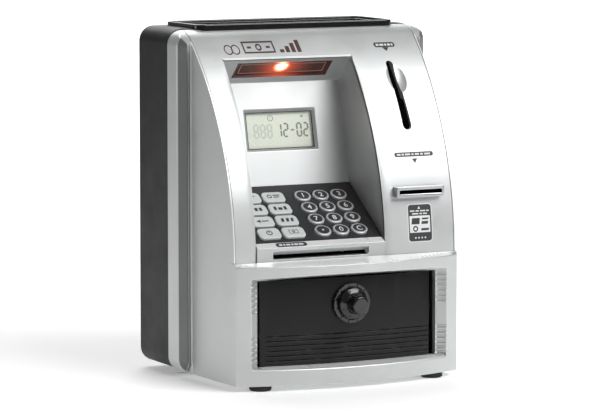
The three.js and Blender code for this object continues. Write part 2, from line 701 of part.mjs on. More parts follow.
// A cap that stands out of the keypad, with a collar under the plate that keeps it in.
function keyCap(kind) {
  const cap = alongZ(keyShape(kind, 0), -WALL - GAP - 0.2, KEY_RISE, KEY_FACETS[kind]);
  const collar = alongZ(keyShape(kind, 0.7), -WALL - 1.2, -WALL - GAP, KEY_FACETS[kind]);
  return union(cap, collar);
}

// Digit keys run 1 2 3, 4 5 6, 7 8 9 and point 0 C, from the top row down.
const DIGITS = [
  ["key_1", "key_2", "key_3"],
  ["key_4", "key_5", "key_6"],
  ["key_7", "key_8", "key_9"],
  ["key_point", "key_0", "key_clear"],
];

function keyLayout() {
  const keys = [];
  DIGITS.forEach((names, fromTop) => {
    const v = keyRow(3 - fromTop);
    names.forEach((name, column) => keys.push({ name, kind: "digit", x: digitX(column), v }));
    for (let column = 0; column < 2; column += 1) {
      const name = `menu_key_${fromTop * 2 + column + 1}`;
      keys.push({ name, kind: "menu", x: menuX(column), v });
    }
  });
  return keys;
}

function keypadPlate(keys) {
  const x0 = CONSOLE.left + GAP;
  const x1 = CONSOLE.right - GAP;
  const plate = box(x0, x1, 0.4, deckLength - 1.6, -WALL, 0);
  const post = (x, v) => bar("z", x, v, 1.6, -6.3, -1, 8);
  const posts = [post(-67.4, 5), post(27.8, 5), post(-67.4, 56), post(27.8, 56)];
  const holes = keys.map(({ kind, x, v }) =>
    alongZ(keyShape(kind, 0.35), -5, 3, KEY_FACETS[kind]).translate([x, v, 0]),
  );
  return cut(union(plate, ...posts), ...holes);
}

// ---------------------------------------------------------------- bill slot and feed

function billSlotBar() {
  const backY = DECK_FOOT.y - GAP;
  const section = outline([
    [FASCIA_Y, FASCIA_FOOT_Z],
    [backY, FASCIA_FOOT_Z],
    [backY, 103.2],
    [FASCIA_Y, 101.2],
  ]);
  const bevel = outline([
    [FASCIA_Y - 1, BILL_SLOT.z1 + 4],
    [FASCIA_Y - 1, BILL_SLOT.z0 + 1],
    [FASCIA_Y + 3, BILL_SLOT.z0 + 1],
    [FASCIA_Y + 3, BILL_SLOT.z1],
  ]);
  const { x0, x1, z0, z1 } = BILL_SLOT;
  const block = alongX(section, CONSOLE.left + GAP, CONSOLE.right - GAP);
  return cut(block, box(x0, x1, -70, -40, z0, z1), alongX(bevel, x0 - 0.4, x1 + 1));
}

const nipGap = 0.6;
const centres = FEED.roller * 2 + nipGap; // distance between the two roller shafts
const toothModule = centres / FEED.teeth;
const driveZ = FEED.bill + 0.05 - centres / 2;
const motorY = FEED.y + (toothModule * (FEED.teeth + FEED.pinionTeeth)) / 2;
const FEED_X = { left: -66, right: 20, plate: 2 };

// A spur gear in the plane across X, with tooth centres at phase, phase + pitch and so on.
function gear(teeth, phase, x0, x1) {
  const pitch = (Math.PI * 2) / teeth;
  const pitchRadius = (toothModule * teeth) / 2;
  const root = pitchRadius - toothModule * 1.05;
  const tip = pitchRadius + toothModule * 0.75;
  const points = [];
  for (let i = 0; i < teeth; i += 1) {
    const a = phase + i * pitch;
    for (const [r, turn] of [[root, -0.27], [tip, -0.1], [tip, 0.1], [root, 0.27]]) {
      points.push([r * Math.cos(a + turn * pitch), r * Math.sin(a + turn * pitch)]);
    }
  }
  return alongX(outline(points), x0, x1);
}

// A shaft with two rubber-covered drums and a gear, turning about its own X axis.
function feedRoller(phase) {
  const drum = (x) => bar("x", 0, 0, FEED.roller, x, x + 14, 20);
  const shaft = bar("x", 0, 0, FEED.shaft, FEED_X.left, FEED_X.right + FEED_X.plate, 12);
  return union(shaft, drum(-48), drum(-6), gear(FEED.teeth, phase, 14.5, 18.5));
}

function motorPinion() {
  const shaft = bar("x", 0, 0, 1.1, 14, FEED_X.right + FEED_X.plate - 0.2, 10);
  return union(shaft, gear(FEED.pinionTeeth, Math.PI / FEED.pinionTeeth, 14.5, 18.5));
}

function feedBracket() {
  const side = outline([
    [-49.5, 86],
    [-49.5, 96],
    [-42, 98.5],
    [-36, 103.5],
    [-14, 103.5],
    [-14, 81],
    [-38, 81],
  ]);
  const plates = [FEED_X.left, FEED_X.right].map((x) => alongX(side, x, x + FEED_X.plate));
  const guide = box(FEED_X.left, FEED_X.right + 1, -49.5, -36.5, 89.9, 91.7);
  const rear = box(FEED_X.left, FEED_X.right + 1, -15.6, -14, 98, 103.5);
  const shaftHole = (z) => bar("x", FEED.y, z, FEED.shaft + GAP, -70, 30, 14);
  const motorHole = bar("x", motorY, driveZ, 1.5, 15, 30, 10);
  const holes = [shaftHole(driveZ), shaftHole(driveZ + centres), motorHole];
  return cut(union(...plates, guide, rear), ...holes);
}

// ---------------------------------------------------------------- coin chute and lever

const LEVER = { pivotX: 51.5, pivotY: -3, tipX: 58.8, tipY: -14, z0: 201.4, z1: 202.6 };

function coinChute() {
  const wall = 1.2;
  const half = 4.7;
  const mouth = WALL + 3;
  const foot = { y: fasciaAt(172, mouth), z: 148 };
  const front = [];
  for (let i = 0; i <= 6; i += 1) {
    const z = 172 + (58 * i) / 6;
    front.push([fasciaAt(z, mouth), z]);
  }
  const side = outline([[foot.y, foot.z], ...front, [16, 230], [16, foot.z]]);
  const x0 = COIN_SLOT.x - half;
  const x1 = COIN_SLOT.x + half;
  const channel = cut(
    alongX(side, x0, x1),
    box(x0 + wall, x1 - wall, -60, 16 - wall, 176, 230 - wall),
    box(x0 + wall, x1 - wall, foot.y + wall, 16 - wall, 140, 177),
  );
  const arm = box(48.4, x0 + 0.4, -6, 0, 199.2, 200.7);
  const pin = bar("z", LEVER.pivotX, LEVER.pivotY, 1, 200, 203.6, 10);
  const leverSlot = box(x0 - 1, x0 + wall + 0.5, -17.4, -5, LEVER.z0 - 0.5, LEVER.z1 + 0.5);
  return cut(union(channel, arm, pin), leverSlot);
}

function coinLever() {
  const { pivotX, pivotY, tipX, tipY, z0, z1 } = LEVER;
  const length = Math.hypot(tipX - pivotX, tipY - pivotY);
  const angle = (Math.atan2(tipY - pivotY, tipX - pivotX) * 180) / Math.PI;
  const blade = box(0, length, -1.1, 1.1, z0, z1).rotate([0, 0, angle]);
  const arm = blade.translate([pivotX, pivotY, 0]);
  const hub = bar("z", pivotX, pivotY, 2.5, z0, z1, 16);
  return union(arm, hub).subtract(bar("z", pivotX, pivotY, 1.25, z0 - 1, z1 + 1, 12));
}

// ---------------------------------------------------------------- card slot

const CARD_PIVOT = { y: -26.5, z: 140.6, x0: 54.1, x1: 63.9 };

function cardSlotBezel() {
  const { x0, x1, z, height } = CARD_SLOT;
  const face = roundedRect(x0 - 2.3, x1 + 1.8, z - 3.9, z + 3.8, 1.2);
  const frame = alongY(face, -58.8, -45, 3).subtract(bodySolid(-GAP, 100));
  const tongue = box(x0 - 0.6, x1 + 0.6, -57, -30, z - height / 2 - 0.8, z + height / 2 + 0.8);
  const ear = (x) => box(x, x + 1.5, -34, -24, z + height / 2 + 0.1, 143);
  const pinHole = bar("x", CARD_PIVOT.y, CARD_PIVOT.z, 1.4, 50, 70, 12);
  const slot = box(x0, x1, -70, -20, z - height / 2, z + height / 2);
  const ears = union(ear(CARD_PIVOT.x0 - 1.5), ear(CARD_PIVOT.x1)).subtract(pinHole);
  return cut(union(frame, tongue, ears), slot);
}

function cardLever() {
  const pin = bar("x", CARD_PIVOT.y, CARD_PIVOT.z, 1.1, CARD_PIVOT.x0 - 1.7, CARD_PIVOT.x1 + 1.7, 12);
  const arm = box(56, 62, CARD_PIVOT.y - 0.6, CARD_PIVOT.y + 0.6, 131, CARD_PIVOT.z);
  return union(pin, arm);
}

// ---------------------------------------------------------------- door and dial

const RIDGES = { firstZ: 20.2, pitch: 3.48, rows: 6, height: 1.3, depth: 0.7, half: 64.2 };

function doorPanel() {
  const edge = bowedEdge(DOOR.half, DOOR_OPENING.y, DOOR.bow, BOW_STEPS);
  const band = (front, back, half) => {
    const kept = edge.filter(([x]) => Math.abs(x) <= half);
    const rear = [...kept].reverse();
    return outline([
      ...kept.map(([x, y]) => [x, y + front]),
      ...rear.map(([x, y]) => [x, y + back]),
    ]);
  };
  // The upright edges are rounded off.
  const corner = roundedRect(-DOOR.half, DOOR.right, -90, DOOR_OPENING.y + DOOR.thick, 1.2);
  const cheek = roundedRect(-DOOR.half, DOOR.right, DOOR_OPENING.y - 0.7, -40, 1.6);
  const bow = alongZ(band(0, DOOR.thick, DOOR.half), DOOR.z0, DOOR.z1);
  const inside = union(
    alongZ(cheek, DOOR.z0, DOOR.z1, 4),
    box(-DOOR.half + 4, DOOR.right - 3, -90, -40, DOOR.z0, DOOR.z1),
  );
  const slab = bow.intersect(inside).intersect(alongZ(corner, 0, 90, 4));
  const knuckle = bar("z", HINGE.x, HINGE.y, 1.6, DOOR.z0, DOOR.z1, 12);
  const pins = bar("z", HINGE.x, HINGE.y, HINGE.r, DOOR.z0 - 2.6, DOOR.z1 + 2.5, 12);
  const dialHole = bar("y", 0, DIAL.z, DIAL.shaft + 0.4, -80, -50, 16);
  const grooves = [];
  for (let i = 0; i < RIDGES.rows; i += 1) {
    const z = RIDGES.firstZ + i * RIDGES.pitch;
    const shape = band(-3, RIDGES.depth, RIDGES.half);
    grooves.push(alongZ(shape, z - RIDGES.height / 2, z + RIDGES.height / 2));
  }
  return cut(union(slab, knuckle, pins), dialHole, ...grooves);
}

const doorFront = DOOR_OPENING.y - DOOR.bow;

// The fixed disc behind the knob, with a broken rim of raised index marks. Its axis is Y.
function dialRing() {
  const back = doorFront - GAP;
  const disc = turned(
    [
      [DIAL.shaft + 0.4, back],
      [DIAL.shaft + 0.4, back - 1.5],
      [11.8, back - 1.5],
      [11.8, back - 2.6],
      [14.2, back - 2.6],
      [14.6, back],
      [DIAL.shaft + 0.4, back],
    ],
    24,
  );
  const gaps = [];
  for (let i = 0; i < 6; i += 1) {
    gaps.push(box(-20, 20, back - 4, back - 1.5, -0.7, 0.7).rotate([0, i * 30 + 15, 0]));
  }
  return cut(disc, ...gaps);
}

function dialKnob() {
  return turned(
    [
      [0, -81.3],
      [5, -81.3],
      [5.9, -80.5],
      [6.6, -72.6],
      [8.6, -70.8],
      [11, -69.9],
      [11, -66.3],
      [0, -66.3],
    ],
    24,
  );
}

// The shaft runs through the door to a cam whose long lobe turns up behind the door frame.
function latchCam() {
  const shaft = bar("y", 0, 0, DIAL.shaft, -66, -52.6, 16);
  const hub = bar("y", 0, 0, 6, -54.6, -52.4, 16);
  const lobe = box(0, 22, -54.6, -52.8, -3.4, 3.4);
  return union(shaft, hub, lobe);
}

// ---------------------------------------------------------------- rear fittings

function speaker() {
  return turned(
    [
      [0, 62],
      [10, 62],
      [10, 68],
      [17, 74],
      [SPEAKER.r, 74],
      [SPEAKER.r, 78.4],
      [0, 78.4],
    ],
    24,
  );
}

function batteryCell() {
  const end = BATTERY.length / 2;
  return union(
    bar("x", 0, 0, BATTERY.r, -end, end - 1.2, 16),
    bar("x", 0, 0, 2.6, end - 2, end, 10),
  );
}

function batteryCover() {
  const { half, z0, z1, tabHalf, tabTop, thick, screwZ } = COVER;
  const inner = BACK_Y - thick;
  const leaf = box(-half, half, inner, BACK_Y, z0, z1);
  const tab = box(-tabHalf, tabHalf, inner, BACK_Y, z1 - 10, tabTop);
  const hole = bar("y", 0, screwZ, 1.7, 70, 90, 12);
  const sink = bar("y", 0, screwZ, 3.1, BACK_Y - 0.9, 90, 14);
  return cut(union(leaf, tab), hole, sink);
}

function screw(headRadius, shankRadius, shankStart, headStart, headEnd) {
  const shank = bar("y", 0, 0, shankRadius, shankStart, headStart + 0.1, 10);
  return union(shank, bar("y", 0, 0, headRadius, headStart, headEnd, 14));
}

function foot() {
  const profile = [
    [0, 0],
    [FOOT.r - 1.4, 0],
    [FOOT.r, 1.3],
    [FOOT.r, BASE_Z - GAP],
    [0, BASE_Z - GAP],
  ].map(([r, z]) => new THREE.Vector2(r, z));
  return solid(new THREE.LatheGeometry(profile, 24).rotateX(Math.PI / 2));
}

// ---------------------------------------------------------------- assembly

addPiece(bank, "front_housing", "silver", frontHousing());
addPiece(bank, "fascia_panel", "silver", fasciaPanel());
addPiece(bank, "rear_case", "black", rearCase());
addPiece(bank, "top_tray", "glossBlack", topTray());
addPiece(bank, "console_insert", "paleSilver", consoleInsert());

addPiece(panel, "display_window", "clear", behindWindow(DISPLAY, 1, paneNear, paneFar));
addPiece(panel, "display_module", "display", behindWindow(DISPLAY, 1, paneFar - GAP, -9));
addPiece(panel, "main_circuit_board", "board", mainBoard());
addPiece(ceiling, "lamp_lens", "lens", behindWindow(LAMP, 0.6, paneNear, paneFar));
const lamp = bar("z", LAMP.ledX, LAMP.ledV, 2.5, -9, paneFar - GAP, 16);
addPiece(ceiling, "alarm_led", "lamp", lamp);

const keys = keyLayout();
addPiece(deck, "keypad_plate", "black", keypadPlate(keys));
const keyBoard = box(CONSOLE.left + 3, CONSOLE.right - 3, 3, deckLength - 3, -8.2, -6.6);
addPiece(deck, "key_circuit_board", "board", keyBoard);
for (const { name, kind, x, v } of keys) {
  const finish = kind === "digit" ? "key" : "white";
  addPiece(deck, name, finish, keyCap(kind)).position.set(x, v, 0);
}

addPiece(bank, "bill_slot_bar", "paleSilver", billSlotBar());
addPiece(bank, "feed_bracket", "black", feedBracket());
const drive = addPiece(bank, "drive_roller", "rubber", feedRoller(0));
drive.position.set(0, FEED.y, driveZ);
const pressure = addPiece(bank, "pressure_roller", "rubber", feedRoller(Math.PI / FEED.teeth));
pressure.position.set(0, FEED.y, driveZ + centres);
const pinion = addPiece(bank, "motor_pinion", "white", motorPinion());
pinion.position.set(0, motorY, driveZ);
const motorBody = bar("x", 0, 0, 9, FEED_X.right + FEED_X.plate + GAP, 46, 18);
addPiece(bank, "feed_motor", "steel", motorBody).position.set(0, motorY, driveZ);

addPiece(bank, "coin_chute", "black", coinChute());
addPiece(bank, "coin_lever", "steel", coinLever());
addPiece(bank, "card_slot_bezel", "chrome", cardSlotBezel());
addPiece(bank, "card_lever", "steel", cardLever());

addPiece(bank, "door_panel", "black", doorPanel());
const dialGroup = new THREE.Group();
dialGroup.position.z = DIAL.z;
bank.add(dialGroup);
addPiece(dialGroup, "dial_ring", "glossBlack", dialRing());
addPiece(dialGroup, "dial_knob", "glossBlack", dialKnob());
addPiece(dialGroup, "latch_cam", "steel", latchCam());

addPiece(bank, "speaker", "steel", speaker()).position.z = SPEAKER.z;
for (let i = 0; i < 3; i += 1) {
  const cell = addPiece(bank, `battery_${i + 1}`, "cell", batteryCell());
  cell.position.set(0, BATTERY.y, BATTERY.firstZ + i * BATTERY.pitch);
}
addPiece(bank, "battery_cover", "black", batteryCover());
const coverScrew = addPiece(bank, "cover_screw", "steel", screw(2.7, 1.35, 70, 80.7, 81.2));
coverScrew.position.z = COVER.screwZ;

const corners = [
  ["left", -1],
  ["right", 1],
];
for (const [side, sign] of corners) {
  for (const [end, y] of [["front", FOOT.front], ["rear", FOOT.rear]]) {
    addPiece(bank, `foot_${end}_${side}`, "rubber", foot()).position.set(sign * FOOT.x, y, 0);
  }
  for (const [level, z] of [["lower", SCREW.low], ["upper", SCREW.high]]) {
    const name = `case_screw_${level}_${side}`;
    addPiece(bank, name, "steel", screw(3.2, 1.5, 15, 40.4, 42.8)).position.set(sign * SCREW.x, 0, z);
  }
}

export default bank;
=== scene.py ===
"""Looks of the toy savings bank: its shells, console, keys, door and fittings, their materials, the light
and the camera. Shapes are made in millimetres, in the row frame, and settle() turns them into metres."""

import math

from contextlib import contextmanager

import bmesh
import bpy
from mathutils import Matrix, Vector


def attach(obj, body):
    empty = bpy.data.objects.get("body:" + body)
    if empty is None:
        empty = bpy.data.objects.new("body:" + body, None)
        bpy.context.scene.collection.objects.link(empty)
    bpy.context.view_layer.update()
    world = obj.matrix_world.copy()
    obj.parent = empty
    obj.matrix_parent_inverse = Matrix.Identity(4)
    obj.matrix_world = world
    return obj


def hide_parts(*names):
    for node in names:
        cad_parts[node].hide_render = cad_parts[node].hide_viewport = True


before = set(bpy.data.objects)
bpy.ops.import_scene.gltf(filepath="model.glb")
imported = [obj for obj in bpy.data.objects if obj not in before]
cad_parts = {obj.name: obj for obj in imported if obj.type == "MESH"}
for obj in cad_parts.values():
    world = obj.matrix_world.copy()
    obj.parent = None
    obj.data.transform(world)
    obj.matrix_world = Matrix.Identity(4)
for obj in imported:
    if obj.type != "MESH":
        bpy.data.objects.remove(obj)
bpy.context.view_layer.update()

# ------------------------------------------------------------------ dimensions, in millimetres

WALL = 2.4
GAP = 0.3
HALF_WIDTH = 100.0
BASE_Z = 3.8
TOP_Z = 250.0
REAR_TOP_Z = 250.8
SHELL_CORNER = 11.0
BACK_Y = 81.3
PARTING_Y = 29.0
FLANGE_Y = 9.4
FLANGE_LEAD, FLANGE_BEVEL = 2.2, 5.6
CORNER_Y = -60.3
FASCIA_Y = -57.6
BOW = 16.6
ROOT_HALF = 90.9
DRAFT = 0.036
FASCIA_RADIUS = 209.1
FASCIA_START_Z = 89.36
BROW_RADIUS = 24.0
FASCIA_END_Y = 22.0
FASCIA_FOOT_Z = 90.2
LEDGE_BACK_Z = 90.3
LEDGE_FRONT_Z = 88.1
SHELF_BACK_Y = -50.0
BEAD_WIDTH = 2.2
BEAD_HEIGHT = 0.8
LEFT, RIGHT, INSERT_WALL = -70.8, 31.6, 2.0
CEILING_FRONT = (-3.3, 230.0)
CEILING_REAR = (17.2, 211.2)
PANEL_FOOT = (0.0, 138.8)
DECK_FOOT = (-52.45, 103.7)
DOOR_HALF, DOOR_FREE, DOOR_Z0, DOOR_Z1, DOOR_BOW, DOOR_THICK = 69.4, 66.4, 17.0, 77.4, 5.2, 2.6
OPENING_HALF, OPENING_Z0, OPENING_Z1, OPENING_Y = 70.7, 16.5, 77.9, -58.9
DIAL_Z = 58.9

# ------------------------------------------------------------------ mesh helpers


def put(name, data):
    """A new object in the scene."""
    made = bpy.data.objects.new(name, data)
    bpy.context.scene.collection.objects.link(made)
    return made


@contextmanager
def editing(mesh):
    """Opens a mesh for editing and writes the result back to it."""
    edit = bmesh.new()
    edit.from_mesh(mesh)
    yield edit
    edit.to_mesh(mesh)
    edit.free()


def slice_at(edit, place, normal):
    """Splits every face that the plane crosses."""
    geometry = edit.verts[:] + edit.edges[:] + edit.faces[:]
    bmesh.ops.bisect_plane(edit, geom=geometry, plane_co=place, plane_no=normal)


def make(name, verts, faces):
    """A mesh object whose faces all point outwards."""
    mesh = bpy.data.meshes.new(name)
    mesh.from_pydata([tuple(v) for v in verts], [], faces)
    with editing(mesh) as edit:
        bmesh.ops.remove_doubles(edit, verts=edit.verts, dist=1e-4)
        bmesh.ops.recalc_face_normals(edit, faces=edit.faces)
    return put(name, mesh)


def loft(name, loops):
    """Closed loops of equal length joined one to the next, with a face over each end."""
    n = len(loops[0])
    verts = [v for loop in loops for v in loop]
    last = len(verts) - n
    faces = [tuple(range(n)), tuple(range(last, last + n))]
    for k in range(len(loops) - 1):
        for i in range(n):
            a, b = k * n + i, k * n + (i + 1) % n
            faces.append((a, b, b + n, a + n))
    return make(name, verts, faces)


PLACE = {
    "x": lambda a, b, t: (t, a, b),
    "y": lambda a, b, t: (a, t, b),
    "z": lambda a, b, t: (a, b, t),
}


def prism(outline, axis, low, high, name="prism"):
    """An outline pushed along an axis. It lists the other two coordinates, in X, Y, Z order."""
    place = PLACE[axis]
    return loft(name, [[place(a, b, t) for a, b in outline] for t in (low, high)])


def block(x0, x1, y0, y1, z0, z1):
    return prism([(x0, y0), (x1, y0), (x1, y1), (x0, y1)], "z", z0, z1)


def rounded(a0, a1, b0, b1, r, n=8):
    """A rectangle with round corners, as a list of points."""
    points = []
    corners = ((a1 - r, b1 - r, 0), (a0 + r, b1 - r, 90), (a0 + r, b0 + r, 180), (a1 - r, b0 + r, 270))
    for ca, cb, start in corners:
        for i in range(n + 1):
            t = math.radians(start + 90 * i / n)
            points.append((ca + r * math.cos(t), cb + r * math.sin(t)))
    return points


def oval(half_a, half_b, n=40):
    turns = [2 * math.pi * i / n for i in range(n)]
    return [(half_a * math.cos(t), half_b * math.sin(t)) for t in turns]


def rod(axis, a, b, r, low, high, n=32, name="rod"):
    return prism([(a + p, b + q) for p, q in oval(r, r, n)], axis, low, high, name)


def turned(name, profile, z=0.0, n=64):
    """A turned piece about the Y axis at a height. The profile lists (radius, y); its ends are capped."""
    return loft(name, [[(a, y, z + b) for a, b in oval(r, r, n)] for r, y in profile])


def slab(half, z0, z1, corner, y0, y1, front, back, n=10, steps=6):
    """A rounded rectangle across X and Z from y0 to y1, its front and back edges rounded."""

    def edge(y, size):
        if not size:
            return [(y, 0.0)]
        turns = [math.pi / 2 * i / steps for i in range(steps + 1)]
        return [(y + size * (1 - math.sin(t)), abs(size) * (1 - math.cos(t))) for t in turns]

    loops = []
    for y, d in edge(y0, front)[::-1] + edge(y1, -back):
        outline = rounded(-half + d, half - d, z0 + d, z1 - d, corner - d, n)
        loops.append([(a, y, b) for a, b in outline])
    return loft("slab", loops)


def bake(obj):
    """Applies an object's modifiers to its mesh."""
    graph = bpy.context.evaluated_depsgraph_get()
    mesh = bpy.data.meshes.new_from_object(obj.evaluated_get(graph))
    old = obj.data
    obj.modifiers.clear()
    obj.data = mesh
    bpy.data.meshes.remove(old)
    return obj


def combine(target, operation, *others):
    """Joins, cuts or intersects the target with each of the others, which are used up."""
    for other in others:
        step = target.modifiers.new("step", "BOOLEAN")
        step.operation = operation
        step.solver = "EXACT"
        step.object = other
        bake(target)
        bpy.data.objects.remove(other)
    return target


def join(target, *others):
    return combine(target, "UNION", *others)


def cut(target, *others):
    return combine(target, "DIFFERENCE", *others)


def meet(target, *others):
    return combine(target, "INTERSECT", *others)


def together(*objects):
    """Puts separate meshes that don't touch into one object."""
    target = objects[0]
    with editing(target.data) as edit:
        for obj in objects[1:]:
            edit.from_mesh(obj.data)
    for obj in objects[1:]:
        bpy.data.objects.remove(obj)
    return target


def move(obj, matrix):
    obj.data.transform(matrix)
    return obj


def clean(obj):
    """Merges what a cut leaves: doubled points, and flat faces split for no reason."""
    with editing(obj.data) as edit:
        bmesh.ops.remove_doubles(edit, verts=edit.verts, dist=0.004)
        bmesh.ops.dissolve_degenerate(edit, edges=edit.edges, dist=0.004)
        bmesh.ops.dissolve_limit(
            edit, angle_limit=math.radians(0.6), verts=edit.verts, edges=edit.edges
        )
    return obj


def soften(obj, width, segments=3, angle=24.0):
    """Rounds the hard edges and smooths the shading of what is left."""
    clean(obj)
    if width:
        edge = obj.modifiers.new("edge", "BEVEL")
        edge.width = width
        edge.segments = segments
        edge.limit_method = "ANGLE"
        edge.angle_limit = math.radians(angle)
        edge.use_clamp_overlap = False
        edge.miter_outer = "MITER_ARC"
        edge.miter_inner = "MITER_SHARP"
        bake(obj)
    return smooth(obj)


def smooth(obj, angle=32.0):
    mesh = obj.data
    mesh.shade_smooth()
    mesh.set_sharp_from_angle(angle=math.radians(angle))
    even = obj.modifiers.new("even", "WEIGHTED_NORMAL")
    even.keep_sharp = True
    even.mode = "FACE_AREA"
    return bake(obj)


def settle(obj, name, body, material, slot, *nodes):
    """Turns millimetres into metres, names and paints the piece, and ties it to its CAD body."""
    obj.data.transform(Matrix.Scale(0.001, 4))
    obj.name = name
    obj.data.name = name
    obj.data.materials.clear()
    obj.data.materials.append(material)
    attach(obj, body)
    if nodes:
        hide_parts(*nodes)
    return obj


# ------------------------------------------------------------------ the outline from the side

FASCIA_CENTRE_Y = FASCIA_Y + FASCIA_RADIUS


def body_half(y):
    return ROOT_HALF - DRAFT * max(0.0, FLANGE_Y - y)


def fascia_at(z, inset=0.0):
    """Depth of the fascia's face at a height, a distance inside its outer surface."""
    r = FASCIA_RADIUS - inset
    return FASCIA_CENTRE_Y - math.sqrt(r * r - (z - FASCIA_START_Z) ** 2)


def body_outline(inset, foot_z, rear_y, steps=72, brow_steps=20):
    """Side outline from the rear over the brow and down the fascia, as (y, z)."""
    brow_z = TOP_Z - BROW_RADIUS
    reach = FASCIA_RADIUS - BROW_RADIUS
    brow_y = FASCIA_CENTRE_Y - math.sqrt(reach**2 - (brow_z - FASCIA_START_Z) ** 2)
    turn = math.atan2(brow_z - FASCIA_START_Z, brow_y - FASCIA_CENTRE_Y)
    r = FASCIA_RADIUS - inset
    foot = math.pi - math.asin((foot_z - FASCIA_START_Z) / r)
    points = [(rear_y, TOP_Z - inset), (brow_y, TOP_Z - inset)]
    for i in range(1, brow_steps + 1):
        a = math.pi / 2 + (turn - math.pi / 2) * i / brow_steps
        size = BROW_RADIUS - inset
        points.append((brow_y + size * math.cos(a), brow_z + size * math.sin(a)))
    for i in range(1, steps + 1):
        a = turn + (foot - turn) * i / steps
        points.append((FASCIA_CENTRE_Y + r * math.cos(a), FASCIA_START_Z + r * math.sin(a)))
    points.append((rear_y, foot_z))
    return points


def body_solid(inset, foot_z, rear_y=60.0, half=110.0):
    return prism(body_outline(inset, foot_z, rear_y), "x", -half, half)


def bowed(x, half, edge_y, bow):
    r = (half * half + bow * bow) / (2 * bow)
    return edge_y - bow + r - math.sqrt(r * r - x * x)


def bowed_edge(half, edge_y, bow, steps=48):
    across = [-half + 2 * half * i / steps for i in range(steps + 1)]
    return [(x, bowed(x, half, edge_y, bow)) for x in across]


# ------------------------------------------------------------------ materials


class Paint:
    """A new material and helpers that add nodes to it. Underscores stand for spaces in socket names."""

    def __init__(self, name):
        self.material = bpy.data.materials.new(name)
        self.material.use_nodes = True
        self.tree = self.material.node_tree
        self.place = self.add("TexCoord").outputs["Object"]

    def give(self, socket, value):
        """Sets an input to a value, or links another node's output to it."""
        if isinstance(value, bpy.types.NodeSocket):
            self.tree.links.new(value, socket)
        else:
            socket.default_value = value

    def fill(self, node, values):
        for name, value in values.items():
            self.give(node.inputs[name.replace("_", " ")], value)

    def add(self, kind, **values):
        made = self.tree.nodes.new("ShaderNode" + kind)
        self.fill(made, values)
        return made

    def maths(self, kind, operation, *values):
        made = self.add(kind)
        made.operation = operation
        for socket, value in zip(made.inputs, values):
            self.give(socket, value)
        return made.outputs["Value"]

    def noise(self, scale, detail=4.0, rough=0.55, place=None):
        where = place or self.place
        made = self.add("TexNoise", Vector=where, Scale=scale, Detail=detail, Roughness=rough)
        return made.outputs["Fac"]

    def spread(self, value, low, high, start=0.3, end=0.7):
        """Maps a value from one range of numbers to another."""
        made = self.add("MapRange", Value=value, From_Min=start, From_Max=end, To_Min=low, To_Max=high)
        return made.outputs["Result"]

    def blend(self, factor, first, second):
        made = self.add("Mix")
        made.data_type = "RGBA"
        made.clamp_factor = True
        for name, kind, value in (("A", "RGBA", first), ("B", "RGBA", second), ("Factor", "VALUE", factor)):
            socket = [s for s in made.inputs if s.name == name and s.type == kind][0]
            self.give(socket, (*value, 1.0) if isinstance(value, tuple) else value)
        return [s for s in made.outputs if s.type == "RGBA"][0]

    def bump(self, height, strength, distance):
        return self.add("Bump", Height=height, Strength=strength, Distance=distance).outputs["Normal"]

    def edge_mask(self, radius):
        """About 1 along hard edges and 0 on flat ground."""
        softened = self.add("Bevel", Radius=radius)
        softened.samples = 4
        ground = self.add("NewGeometry").outputs["Normal"]
        dot = self.maths("VectorMath", "DOT_PRODUCT", softened.outputs["Normal"], ground)
        return self.spread(dot, 1.0, 0.0, 0.86, 0.995)

    def finish(self, **values):
        """Fills in the main shader and hands over the material."""
        self.fill(self.tree.nodes["Principled BSDF"], values)
        return self.material


def plastic(name, colour, rough, metal=0.0, tint=0.04, grain=900.0, bump=0.02, edge_wear_highlight=0, coat=0.0, spec=0.5):
    """Moulded or lacquered plastic: slow colour and gloss changes, a fine grain, and edges lightened in patches,
    partly rubbed wear and partly a painted highlight along the edges.
    """
    paint = Paint(name)
    fine = paint.noise(grain, 2.0)
    light = tuple(min(1.0, c * (1 + tint)) for c in colour)
    dark = tuple(c * (1 - tint) for c in colour)
    base = paint.blend(paint.spread(paint.noise(18.0, 3.0), 0.0, 1.0), dark, light)
    base = paint.blend(paint.spread(fine, 0.0, 0.35, 0.45, 0.7), base, light)
    # Edges lightened in noisy patches: partly rubbed wear, partly a painted highlight along the edges.
    if edge_wear_highlight:
        patch = paint.spread(paint.noise(140.0, 5.0), 0.0, 1.0, 0.5, 0.66)
        rubbed_and_lit = paint.maths("Math", "MULTIPLY", paint.edge_mask(0.0009), patch)
        base = paint.blend(rubbed_and_lit, base, (edge_wear_highlight, edge_wear_highlight, edge_wear_highlight))
    return paint.finish(
        Base_Color=base,
        Roughness=paint.spread(paint.noise(45.0, 5.0, 0.6), rough * 0.88, rough * 1.14),
        Metallic=metal,
        Specular_IOR_Level=spec,
        Coat_Weight=coat,
        Coat_Roughness=0.12,
        Normal=paint.bump(fine, bump, 0.0002),
    )


SILVER = plastic("silver_lacquer", (0.6, 0.615, 0.615), 0.38, 0.55, grain=1400.0, edge_wear_highlight=0.8, coat=0.15)
# Painted shade: a dark silver standing in for the shade on the flanges' slanting fronts.
PAINTED_SHADE_SILVER = plastic("painted_shade_silver_lacquer", (0.21, 0.212, 0.212), 0.4, 0.5, grain=1400.0)
